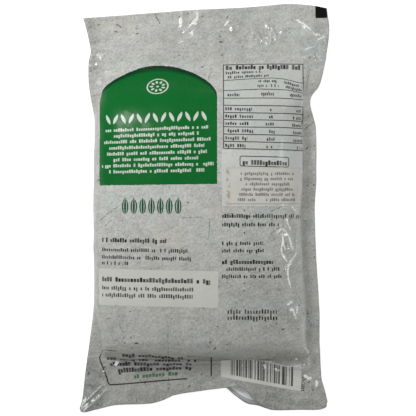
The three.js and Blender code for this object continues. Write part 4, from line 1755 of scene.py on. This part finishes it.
@dataclass(frozen=True)
class Layout:
    """What is printed on the back film, in millimetres as seen from above."""

    patches: tuple[Patch, ...] = (
        Patch(-70.5, 9.3, -65.4, -41.1, Ink.PAPER, 0.4, 0.86),
        Patch(11.7, 66, 1.6, 39, Ink.PATCH, 0.4, 0.55),
        Patch(12.6, 66.7, 39.6, 96.9, Ink.TABLE, 0.2, 0.6),
        Patch(11.3, 65.4, -123.5, -101.9, Ink.BAR_GREY, 0.4, 0.8),
    )
    lines: tuple[Patch, ...] = (
        Patch(12.6, 66.7, 39.6, 96.9, Ink.BLACK, 0.2, 0.92, 0.6),
        Patch(23.5, 56.6, 28.1, 35.3, Ink.BLACK, 1.6, 0.92, 0.6),
    )
    open_box: Patch = Patch(-66, 5.2, -124.5, -95.4, Ink.BLACK, 3, 0.92, 0.95)
    opening: Point = (-59, -11.7)
    spots: tuple[Patch, ...] = (
        Patch(75.2, 85.6, 127.9, 138.5, Ink.BLACK, 0.4),
        Patch(-41, -39.3, -125, -123.2, Ink.RED_BROWN, 0.8, 0.9),
    )
    rules: tuple[float, ...] = (85.3, 78.3, 73.3, 68.6, 63.8, 59.1, 54.3, 49.4, 44.6)
    black_rows: tuple[Rows, ...] = (
        Rows(-68.4, -25.2, -20.2, 2.9, 1.7, weight=0.86),
        Rows(-68.4, -10.8, -26.9, 2.4, 1.4),
        Rows(-68.4, -7.2, -31.9, 2.4, 1.4),
        Rows(-68.4, -49.8, -35.9, 2.4, 1.4),
        Rows(-68.4, 4, -46.4, 3.1, 2.1, weight=0.88),
        Rows(-68.4, 0.5, -52.3, 2.6, 1.55, 2, 4.8, 0.12),
        Rows(-55.5, -14.5, -96.1, 2.5, 2.2, centred=1, weight=0.9),
        Rows(-65.5, -1.5, -100.5, 4, 2.2, 3, 5.9, 0.22, 1, 0.9),
        Rows(14.3, 64.6, 96.1, 3.1, 2.35, weight=0.88),
        Rows(14.3, 45, 91.9, 1.9, 1.45, 2, 3.4, 0.3),
        Rows(35.5, 50, 84.3, 1.8, 1.45, 2, 2.9, 0.15, 1),
        Rows(53.8, 65.6, 84, 1.8, 1.45, 2, 2.9, 0.1, 1),
        Rows(13.9, 23.5, 76.6, 2.1, 1.55),
        Rows(38.2, 46.9, 76.9, 2.1, 1.45),
        Rows(57.8, 66, 76.9, 2.1, 1.45),
        Rows(13.9, 33, 67.4, 2.1, 1.6, 6, 4.88, 0.55),
        Rows(39.5, 46.9, 67.2, 2.1, 1.5, 6, 4.88, 0.5, 2),
        Rows(58.6, 65.6, 66.9, 2.1, 1.5, 6, 4.88, 0.5, 2),
        Rows(25.4, 55, 32.6, 3.2, 1.9, weight=0.88),
        Rows(11.7, 31, -3.8, 2.6, 1.6, weight=0.88),
        Rows(32.4, 63.8, -3.8, 2.6, 1.55),
        Rows(11.7, 49.7, -9.4, 2.6, 1.5),
        Rows(11.7, 41.7, -22, 2.4, 1.5, 2, 4.9, 0.3),
        Rows(11.7, 46, -34.2, 2.9, 1.85, weight=0.88),
        Rows(11.7, 53, -39.2, 2.4, 1.45, 2, 4.9, 0.1),
        Rows(15.4, 53.8, -67.3, 3, 1.9, 2, 4.1, 0.2, 0, 0.6),
        Rows(65.2, 68, -113, 0.9, 0.6, 8, 1.35, 0.3, 0, 0.9),
    )
    green_row: Rows = Rows(-47.5, -16.4, -118.2, 2.9, 2.2, centred=1, weight=0.9)
    pale_rows: Rows = Rows(-69, 7, 54.2, 2.2, 1.55, 8, 4.02, 0.3, 1, 0.8)
    panel: Patch = Patch(-70.2, 8.6, 15.7, 73, Ink.GREEN)
    panel_rise: float = 23.4
    panel_rim: Point = (5.5, 1.6)
    leaves: Point = (-66.5, 60.4)
    slice_at: Point = (-31.3, 82)
    gourds: tuple[float, float, float] = (-55.6, -14.4, 1.2)
    bars: Patch = Patch(17.4, 60, -121, -102.6, Ink.BLACK)
    bar: float = 0.62
    strokes: tuple[Stroke, ...] = (
        Stroke((-33.3, 131.3), (-29.9, 125.2), 0.45),
        Stroke((-59.7, 124.6), (-56.3, 122.5), 0.45),
        Stroke((67.8, 53.7), (74.5, 58.6), 0.4),
        Stroke((68.7, 39.8), (70.8, 41.9), 0.5),
        # Painted shade: the next three are dark lines along creases on the right shoulder.
        Stroke((44.1, -2.2), (51.4, 1), 0.35),
        Stroke((41.3, -9.5), (47.8, -5.9), 0.35),
        Stroke((43.7, -17.6), (49.8, -12.8), 0.35),
        Stroke((-68.5, -7.3), (-63.7, -2.5), 0.4),
        Stroke((-63.7, -2.5), (-57.3, 1), 0.35),
        Stroke((-66.5, -12), (-62, -8), 0.35),
        Stroke((-15, -6.4), (-1, -6), 0.25),
        Stroke((3.6, -7), (3, -19.6), 0.3),
        Stroke((-24.2, -78), (-24, -126), 0.22),
    )


@dataclass(frozen=True)
class FlatPlan:
    """Turns places as seen from above into places on the flat film."""

    sheet: Sheet
    maker: SheetMaker
    side: Side

    def u(self, x: float, y: float) -> float:
        """Gives u of a place."""
        return float(self.sheet.flat(np.array([x]), y)[0])

    def v(self, y: float) -> float:
        """Gives v of a place whose print isn't pulled."""
        return float(self.maker.along(np.array([y]), self.side)[0])

    def place(self, x: float, y: float) -> Vector:
        """Gives u and v of a place on the bent film, from the grid's nearest point."""
        off = self.sheet.points[..., :2] - (x, y)
        nearest = np.unravel_index(np.argmin((off**2).sum(-1)), off.shape[:2])
        flat = np.array((self.sheet.u[nearest], self.sheet.v[nearest])) - off[nearest]
        return Vector((*flat, 0.0))

    def box(self, patch: Patch) -> tuple[tuple, tuple]:
        """Gives the middle of a patch's box and half its size."""
        y = (patch.bottom + patch.top) / 2
        u0, u1 = self.u(patch.left, y), self.u(patch.right, y)
        v0, v1 = self.v(patch.bottom), self.v(patch.top)
        return ((u0 + u1) / 2, (v0 + v1) / 2, 0), ((u1 - u0) / 2, (v1 - v0) / 2, 0)


class Surface(Wiring):
    """The wiring of a material, with its shader and the position on the piece in millimetres."""

    def __init__(
        self, name: str, effects: Effects, uv_map: str = "flat_film", **constants: float
    ) -> None:
        """Starts the material.

        Args:
            name: The material's name.
            effects: The shared node groups.
            uv_map: The piece's own UV map.
            constants: Values of the shader's inputs, named in lower case with underscores.
        """
        self.material = bpy.data.materials.new(name)
        self.material.use_nodes = True
        super().__init__(self.material.node_tree)
        shader = self.tree.nodes["Principled BSDF"]
        self.sockets = {s.name.lower().replace(" ", "_"): s for s in shader.inputs}
        self.effects = effects
        self.at = self.node("UVMap", {}, uv_map=uv_map)
        self.finish(**constants)

    def finish(self, **inputs: Feed) -> Material:
        """Feeds the shader's inputs. Gives the material."""
        for name, value in inputs.items():
            self.feed(self.sockets[name], value)
        return self.material

    def effect(self, name: str, **values: Feed) -> Value:
        """Places a shared effect."""
        return self.grouped(getattr(self.effects, name), position=self.at, **values)

    def printed(self, colour: Value, ink: Ink, share: Value) -> Value:
        """Prints an ink over a colour."""
        return self.blend(share, colour, ink.value)


class FilmSurface(Surface):
    """The wiring of a film's material, with the sheen and the fine crinkle of handled film."""

    def __init__(self, name: str, effects: Effects, coat_roughness: float) -> None:
        """Starts the material."""
        super().__init__(name, effects, coat_roughness=coat_roughness, specular_ior_level=0.12)

    def finish_film(self, colour: Value, crumpled: Value | None = None) -> Material:
        """Feeds the shader.

        Args:
            colour: The film's colour.
            crumpled: How far a place is crumpled, from 0 to 1.

        Returns:
            The material.
        """
        rubbed = self.effect("rubbed", size=18.0)
        coat = self.step(rubbed, 0, 1, 0.16, 0.04)
        wide = self.bump(self.effect("crinkle", size=9.0), 0.22)
        normal = self.bump(self.effect("crinkle", size=2.4), 0.05, wide)
        if crumpled is not None:
            coat = coat + crumpled
            normal = self.bump(self.effect("crinkle", size=3.4) * crumpled, 0.6, normal)
        rough = self.step(rubbed, 0, 1, 0.36, 0.48)
        return self.finish(base_color=colour, roughness=rough, coat_weight=coat, normal=normal)


@dataclass(frozen=True)
class PrintedFilm:
    """The printed film: a plaster print with panels, rules and rows of marks over it."""

    name: str
    plan: FlatPlan
    layout: Layout = Layout()
    coat_roughness: float = 0.13
    # Colour of the thin dark lines, three of them painted crease shade.
    scratch: Colour = srgb(70, 72, 68)
    # Near white of the painted highlight along crease crests.
    crest: Colour = srgb(250, 252, 251)
    mottle: Colour = srgb(0, 92, 38)
    leaf_style: tuple[float, float] = (0.42, 0.0)

    def back(self, effects: Effects) -> Material:
        """Builds the back film's finish.

        Args:
            effects: The shared node groups.

        Returns:
            The material.
        """
        w = FilmSurface(self.name, effects, self.coat_roughness)
        # The plaster print brings painted shade and light; the thin dark lines include painted
        # crease shade.
        colour = w.blend(self.dark_lines(w), w.effect("plaster"), self.scratch)
        colour = self.patched(w, colour, self.layout.patches)
        colour = w.printed(colour, Ink.BLACK, self.black_ink(w))
        colour = self.panel(w, colour)
        colour = w.printed(colour, Ink.TEAL, self.teal_row(w))
        green = w.effect("marks", **self.rows(self.layout.green_row))
        colour = w.printed(colour, Ink.GREEN, green * 0.9)
        colour = self.patched(w, colour, self.layout.spots)
        # Painted highlight: near white along the crests of the sharpest creases.
        colour = w.blend(self.crests(w), colour, self.crest)
        return w.finish_film(colour, self.crumpled(w))

    def patched(self, w: Surface, colour: Value, patches: tuple[Patch, ...]) -> Value:
        """Prints filled patches over a colour."""
        for patch in patches:
            colour = w.printed(colour, patch.ink, self.boxed(w, patch) * patch.share)
        return colour

    def crumpled(self, w: Surface) -> Value:
        """Gives how far a place of the back film is crumpled."""
        found = []
        for crumple in CRUMPLES:
            x, y = crumple.middle
            off = w.vector_math("SUBTRACT", w.at, (self.plan.u(x, y), self.plan.v(y), 0.0))
            off = w.vector_math("MULTIPLY", off, (1 / crumple.half[0], 1 / crumple.half[1], 0.0))
            share = min(1, crumple.height)
            found.append(w.step(w.vector_math("LENGTH", off), 1.1, 0.5, 0, share))
        return w.most(*found)

    def boxed(self, w: Surface, patch: Patch) -> Value:
        """Places a patch's box. Gives its fill."""
        middle, half = self.plan.box(patch)
        return w.effect("box", middle=middle, half=half, corner=patch.corner, line=patch.line)

    def rows(self, rows: Rows) -> dict[str, tuple | float]:
        """Gives the marks group's inputs for some rows."""
        foot = rows.top - (rows.rows - 1) * rows.pitch - rows.height
        left = self.plan.u(rows.left, (rows.top + foot) / 2)
        width = self.plan.u(rows.right, (rows.top + foot) / 2) - left
        top = self.plan.v(rows.top)
        pitch = (top - self.plan.v(foot)) / (rows.top - foot) * rows.pitch
        return {
            "place": (left, top, width),
            "row": (pitch, rows.height * pitch / rows.pitch, rows.mark),
            "style": (rows.ragged, rows.centred, rows.weight),
            "count": float(rows.rows),
        }

    def black_ink(self, w: Surface) -> Value:
        """Gives where black is printed: the rows of marks, the boxes, the rules and the bars."""
        u, v, _ = w.split(w.at)
        settings = dict.fromkeys(("place", "row", "style"), ORIGIN)
        for rows in self.layout.black_rows:
            values = self.rows(rows)
            (left, top, width), (pitch, height, _) = values["place"], values["row"]
            depth = (rows.rows - 1) * pitch + height * 1.35
            across = w.near(u, left + width / 2, width / 2)
            inside = across * w.near(v, top - depth / 2, depth / 2)
            for name, setting in settings.items():
                settings[name] = w.vector_math("ADD", w.scaled(values[name], inside), setting)
        ink = w.effect("marks", **settings) * 0.97
        lines = [self.boxed(w, box).other("Outline") * box.share for box in self.layout.lines]
        rules, bars = self.table_rules(w, u, v), self.bars(w, u, v)
        return w.most(ink, *lines, self.open_box(w, u, v), rules, bars)

    def open_box(self, w: Surface, u: Value, v: Value) -> Value:
        """Gives the line of the box at the foot, which is open at its top and worn below."""
        box = self.layout.open_box
        middle, half = self.plan.box(box)
        left, right = (self.plan.u(x, box.top) for x in self.layout.opening)
        gap = w.between(u, left, right) * (v > middle[1])
        worn = w.between(u, right, middle[0] + half[0] - 1) * (v < middle[1])
        return self.boxed(w, box).other("Outline") * box.share * (1.0 - w.most(gap, worn))

    def table_rules(self, w: Surface, u: Value, v: Value) -> Value:
        """Gives the rules between the table's rows."""
        middle, half = self.plan.box(self.layout.lines[0])
        rules = sum(w.near(v, self.plan.v(height), 0.31) for height in self.layout.rules)
        return rules * w.near(u, middle[0], half[0]) * 0.9

    def bars(self, w: Surface, u: Value, v: Value) -> Value:
        """Gives a block of upright bars of seeded widths."""
        middle, half = self.plan.box(self.layout.bars)
        along = u / self.layout.bar
        chosen, wide, _ = w.random(w.math("FLOOR", along), 7.0)
        bar = (chosen > 0.36) * (w.math("FRACT", along) < w.step(wide, 0.2, 0.8, 0.5, 1.05))
        inside = w.near(u, middle[0], half[0]) * w.near(v, middle[1], half[1])
        return bar * inside * 0.9

    def dark_lines(self, w: Surface) -> Value:
        """Gives the thin dark lines drawn on the film; three on the right shoulder are painted
        crease shade.
        """
        wander = w.vector_math("MULTIPLY", w.jittered(w.at, 2.0, 1.6), (1.0, 1.0, 0.0))
        lines = (self.line(w, wander, stroke) for stroke in self.layout.strokes)
        return w.most(*lines) * w.step(w.noise(w.at, 1.8, 2), 0.36, 0.52, 0.1, 0.85)

    def line(self, w: Surface, at: Value, stroke: Stroke) -> Value:
        """Draws a stroke between two places on the bent film.

        Args:
            w: The material's wiring.
            at: The position on the flat film.
            stroke: The stroke.

        Returns:
            The line's strength, from 0 to 1.
        """
        first = self.plan.place(*stroke.start)
        run = self.plan.place(*stroke.end) - first
        off = w.vector_math("SUBTRACT", at, tuple(first))
        share = w.vector_math("DOT_PRODUCT", off, tuple(run / run.length_squared))
        share = w.math("ADD", share, 0.0, clamped=True)
        aside = w.vector_math("SUBTRACT", off, w.scaled(tuple(run), share))
        return w.step(w.vector_math("LENGTH", aside), stroke.width, stroke.width * 0.4)

    def crests(self, w: Surface) -> Value:
        """Gives the painted highlight along the crests of the film's sharpest creases."""
        white = w.node("Attribute", {}, "Fac", attribute_name="white")
        return w.step(white * w.step(w.noise(w.at, 1.6, 2), 0.34, 0.56, 0.45, 1), 0.08, 0.7)

    def panel(self, w: Surface, colour: Value) -> Value:
        """Prints the green panel with an arched top, leaves and pale rows of marks."""
        layout, plan = self.layout, self.plan
        middle, half = plan.box(layout.panel)
        u, v, _ = w.split(w.jittered(w.at, 1.1, 0.9))
        aside = (u - middle[0]) / half[0]
        under = w.most(1.0 - aside * aside, 0.0)
        shoulder = plan.v(layout.panel.top)
        rise = plan.v(layout.panel.top + layout.panel_rise) - shoulder
        below = w.math("POWER", under, 0.55) * rise + shoulder - v
        inside = w.near(u, middle[0], half[0]) * (v > middle[1] - half[1]) * (below > 0.0)
        mottle = w.clouds(w.at, 3.2, 3, 0.6, 0, 0.35)
        green = w.blend(mottle, layout.panel.ink.value, self.mottle)
        green = w.printed(green, Ink.DARK_GREEN, w.step(below, *layout.panel_rim))
        (leaf_x, leaf_y), (slice_x, slice_y) = layout.leaves, layout.slice_at
        leaves = w.effect(
            "shapes", place=(plan.u(leaf_x, leaf_y), plan.v(leaf_y), 5.4), size=(1.25, 3.4, 0.9),
            style=(*self.leaf_style, 13.0),
        )
        centre = (plan.u(slice_x, slice_y), plan.v(slice_y - 0.5), 0.0)
        drawn = w.effect("slice", middle=centre, radius=7.4)
        rows = w.effect("marks", **self.rows(layout.pale_rows))
        ink = w.most(rows * 0.88, leaves * 0.85, drawn * 0.85)
        return w.blend(inside, colour, w.printed(green, Ink.PALE, ink))

    def teal_row(self, w: Surface) -> Value:
        """Gives the row of striped gourds under the panel."""
        start, end, y = self.layout.gourds
        left, right = self.plan.u(start, 2), self.plan.u(end, 2)
        place = (left, self.plan.v(y), (right - left) / 7)
        return w.effect("shapes", place=place, size=(2.2, 4.9, 0.45), style=(0.0, 1.0, 7.0))

    def front(self, effects: Effects) -> Material:
        """Builds the front film's finish: plaster, a green band and two rows of gourds.

        Args:
            effects: The shared node groups.

        Returns:
            The material.
        """
        w = FilmSurface(self.name, effects, self.coat_roughness)
        band = w.effect(
            "box", middle=(0.0, 52.0, 0.0), half=(62.0, 30.0, 0.0), corner=12.0, line=2.0, edge=0.4
        )
        # The plaster print brings its painted shade and light to this film too.
        colour = w.printed(w.effect("plaster"), Ink.GREEN, band)
        colour = w.printed(colour, Ink.DARK_GREEN, band.other("Outline"))
        drawn = w.effect("slice", middle=(0.0, 60.0, 0.0), radius=15.0)
        leaves = w.effect(
            "shapes", place=(-48.0, 33.0, 8.0), size=(1.9, 4.6, 0.9), style=(*self.leaf_style, 12.0)
        )
        for pale in (drawn, leaves):
            colour = w.printed(colour, Ink.PALE, pale * 0.85)
        for middle in (-20.0, -62.0):
            place = (-56.0, middle, 14.0)
            gourds = w.effect("shapes", place=place, size=(5.0, 15.0, 0.45), style=(0.0, 1.0, 8.0))
            colour = w.printed(colour, Ink.TEAL, gourds * 0.9)
        return w.finish_film(colour)


@dataclass(frozen=True)
class WhiteFilm:
    """Plain white film, with a darker band along its foot: partly duller sealed film, partly
    painted shade.
    """

    name: str
    band: float = 0.0
    colour: Colour = srgb(248, 249, 249)
    shadow: Colour = srgb(239, 240, 240)
    speck: Colour = srgb(120, 122, 124)
    # The band's grey: sealed film, darkened further as painted shade.
    sealed: Colour = srgb(182, 184, 188)
    coat_roughness: float = 0.15

    def build(self, effects: Effects) -> Material:
        """Builds the finish.

        Args:
            effects: The shared node groups.

        Returns:
            The material.
        """
        w = FilmSurface(self.name, effects, self.coat_roughness)
        colour = w.blend(w.clouds(w.at, 9, 3, 0.6), self.colour, self.shadow)
        specks = w.noise(w.at, 0.7, 1) > 0.73
        colour = w.blend(specks * 0.25, colour, self.speck)
        # Darker band along the foot: partly sealed film, partly painted shade.
        if self.band:
            _, v, _ = w.split(w.at)
            sealed = w.step(v, self.band + 0.15, self.band - 0.15)
            colour = w.blend(sealed, colour, self.sealed)
        return w.finish_film(colour)


@dataclass(frozen=True)
class ZipPlastic:
    """Milky plastic with fine lines along the strip."""

    colour: Colour = srgb(214, 217, 215)
    cloud: Colour = srgb(196, 202, 200)
    roughness: Point = (0.3, 0.5)

    def build(self, effects: Effects) -> Material:
        """Builds the finish.

        Args:
            effects: The shared node groups.

        Returns:
            The material.
        """
        w = Surface("zip plastic", effects, coat_weight=0.2, transmission_weight=0.15)
        lines = w.noise(w.placed(w.at, (40, 0.25, 1)), 1, 2)
        clouds = w.clouds(w.at, 6, 3, 0.5, 0, 0.7)
        colour = w.blend(clouds, self.colour, self.cloud)
        rough = w.step(w.effect("rubbed", size=9.0), 0, 1, *self.roughness)
        return w.finish(base_color=colour, roughness=rough, normal=w.bump(lines, 0.05))


@dataclass(frozen=True)
class LabelPaper:
    """Cream paper with rows of marks, and a brown stain along its left edge."""

    colour: Colour = srgb(208, 206, 198)
    cloud: Colour = srgb(200, 199, 192)
    fibre: Colour = srgb(182, 180, 170)
    stain: Colour = srgb(150, 134, 100)
    ink: Colour = srgb(72, 72, 70)
    half_width: float = 25.6
    half_height: float = 12.15
    rows: Rows = Rows(-21.0, 23.0, 9.3, 2.0, 1.35, 6, 3.5, 0.34, 1, 0.86)

    def build(self, effects: Effects) -> Material:
        """Builds the finish.

        Args:
            effects: The shared node groups.

        Returns:
            The material.
        """
        w = Surface("label paper", effects)
        fibres = w.noise(w.placed(w.at, (2.2, 0.5, 1), -20), 1, 3, 0.6)
        colour = w.blend(w.clouds(w.at, 8, 3, 0.6), self.colour, self.cloud)
        colour = w.blend(w.step(fibres, 0.45, 0.75, 0, 0.3), colour, self.fibre)
        u, v, _ = w.split(w.at)
        rim = w.step(self.half_height - abs(v), 0.9, 0.1, 0, 0.35)
        beside = w.step(u + self.half_width, 2.2, 0.3)
        stained = beside * w.step(w.noise(w.at, 2.6, 3), 0.46, 0.64)
        colour = w.blend(w.most(stained * 0.8, rim), colour, self.stain)
        rows = self.rows
        marks = w.effect(
            "marks", place=(rows.left, rows.top, rows.right - rows.left),
            row=(rows.pitch, rows.height, rows.mark),
            style=(rows.ragged, rows.centred, rows.weight),
        )
        marks = marks * w.between(v, rows.top - rows.rows * rows.pitch, rows.top)
        colour = w.blend(marks * 0.75, colour, self.ink)
        rough = w.step(w.effect("rubbed", size=12.0), 0, 1, 0.55, 0.72)
        return w.finish(base_color=colour, roughness=rough, normal=w.bump(fibres, 0.04))


@dataclass(frozen=True)
class GourdSkin:
    """Green skin with broken pale stripes along the gourd, and frost."""

    dark: Colour = srgb(62, 104, 48)
    mottle: Colour = srgb(88, 126, 62)
    light: Colour = srgb(150, 178, 112)
    tip: Colour = srgb(176, 180, 128)
    frost: Colour = srgb(214, 222, 222)
    stripes: int = 10

    def build(self, effects: Effects) -> Material:
        """Builds the finish.

        Args:
            effects: The shared node groups.

        Returns:
            The material.
        """
        w = Surface("gourd skin", effects, "skin", coat_weight=0.15)
        u, v, _ = w.split(w.at)
        w.at = w.scaled(w.node("TexCoord", {}, "Object"), 1 / MM)
        turn = u * self.stripes + w.noise(w.at, 8, 2) * 0.5
        beside = abs(w.math("FRACT", turn) - 0.5)
        stripe = w.step(beside, 0.2, 0.08) * w.step(w.noise(w.at, 3.5, 2), 0.38, 0.56)
        mottle = w.clouds(w.at, 5, 3, 0.5, 0, 0.5)
        colour = w.blend(mottle, self.dark, self.mottle)
        colour = w.blend(stripe * 0.85, colour, self.light)
        colour = w.blend(w.step(abs(v - 0.5), 0.44, 0.5, 0, 0.7), colour, self.tip)
        rime = w.step(w.noise(w.at, 2.2, 4, 0.7), 0.46, 0.66)
        colour = w.blend(rime * 0.55, colour, self.frost)
        rough = w.most(w.step(w.effect("rubbed", size=10.0), 0, 1, 0.35, 0.5), rime * 0.7)
        return w.finish(base_color=colour, roughness=rough, normal=w.bump(rime, 0.12))


@dataclass
class Studio:
    """The floor, the lights and the camera."""

    frame_mm: float = 281.2
    aim: Point = (2.5, 0.2)
    seam_height: float = 8.0
    lens: float = 200.0
    sensor: float = 36.0

    def build(self) -> None:
        """Sets the stage."""
        self.floor()
        self.lights()
        self.camera()

    def floor(self) -> None:
        """Lays a plain pale floor."""
        deselect()
        bpy.ops.mesh.primitive_plane_add(size=6, location=(0, 0, -0.0002))
        floor = bpy.context.object
        floor.name = "floor"
        material = bpy.data.materials.new("pale floor")
        material.use_nodes = True
        shader = material.node_tree.nodes["Principled BSDF"]
        shader.inputs["Base Color"].default_value = (0.35, 0.35, 0.35, 1)
        shader.inputs["Roughness"].default_value = 0.9
        shader.inputs["Specular IOR Level"].default_value = 0.0
        shader.inputs["Emission Color"].default_value = (1, 1, 1, 1)
        shader.inputs["Emission Strength"].default_value = 0.85
        floor.data.materials.append(material)

    def lights(self) -> None:
        """Hangs a large soft light up and left of the bag, a small one at its right, and a sky."""
        self.area("key", (-0.22, 0.22, 0.38), (-0.02, 0.03, 0), 0.16, 1.25)
        self.area("side", (0.43, 0.07, 0.58), (0.03, 0, 0.02), 0.1, 0.5)
        world = bpy.data.worlds.new("studio")
        world.use_nodes = True
        world.node_tree.nodes["Background"].inputs["Color"].default_value = (1, 1, 1, 1)
        world.node_tree.nodes["Background"].inputs["Strength"].default_value = 0.37
        bpy.context.scene.world = world
        bpy.context.scene.view_settings.view_transform = "Standard"

    def area(self, name: str, place: tuple, target: tuple, size: float, power: float) -> None:
        """Hangs a square light.

        Args:
            name: The light's name.
            place: Where it hangs, in metres.
            target: What it faces.
            size: Its side, in metres.
            power: In watts.
        """
        lamp = bpy.data.lights.new(name, "AREA")
        lamp.size = size
        lamp.energy = power
        light = bpy.data.objects.new(name, lamp)
        bpy.context.scene.collection.objects.link(light)
        light.location = place
        heading = Vector(target) - Vector(place)
        light.rotation_euler = heading.to_track_quat("-Z", "Y").to_euler()

    def camera(self) -> None:
        """Looks straight down, far enough off to keep the perspective small."""
        lens = bpy.data.cameras.new("camera")
        lens.lens = self.lens
        lens.sensor_width = self.sensor
        camera = bpy.data.objects.new("camera", lens)
        bpy.context.scene.collection.objects.link(camera)
        distance = self.frame_mm * self.lens / self.sensor + self.seam_height
        camera.location = (self.aim[0] * MM, self.aim[1] * MM, distance * MM)
        camera.rotation_euler = (0, 0, 0)
        lens.clip_end = 10
        bpy.context.scene.camera = camera


def dress(piece: Piece, *finishes: Material) -> None:
    """Gives a piece its finishes, in the order of its material slots, and reports it."""
    for finish in finishes:
        piece.data.materials.append(finish)
    log.info("%s: %d faces", piece.name, len(piece.data.polygons))


def main() -> None:
    """Builds the bag and its stage."""
    logging.basicConfig(level=logging.INFO, format="%(message)s")
    form = BagForm()
    relief = Relief(form)
    films = PrintedFilms(form, relief, SheetMaker(form))
    back, front = films.creased(Side.BACK), films.creased(Side.FRONT)
    effects = Effects()
    lining = WhiteFilm("white lining").build(effects)
    back_plan = FlatPlan(back, films.maker, Side.BACK)
    front_plan = FlatPlan(front, films.maker, Side.FRONT)
    dress(films.build(Side.BACK, back), PrintedFilm("back print", back_plan).back(effects), lining)
    front_print = PrintedFilm("front print", front_plan).front(effects)
    dress(films.build(Side.FRONT, front), front_print, lining)
    dress(Gusset(form, relief).build(), WhiteFilm("gusset white", 2.8).build(effects))
    zip_plastic = ZipPlastic().build(effects)
    for half in Zip(form, relief).build():
        dress(half, zip_plastic)
    dress(Label(back).build(), LabelPaper().build(effects))
    skin = GourdSkin().build(effects)
    for gourd in Gourds().build():
        dress(gourd, skin)
    Studio().build()


if __name__ == "__main__":
    main()
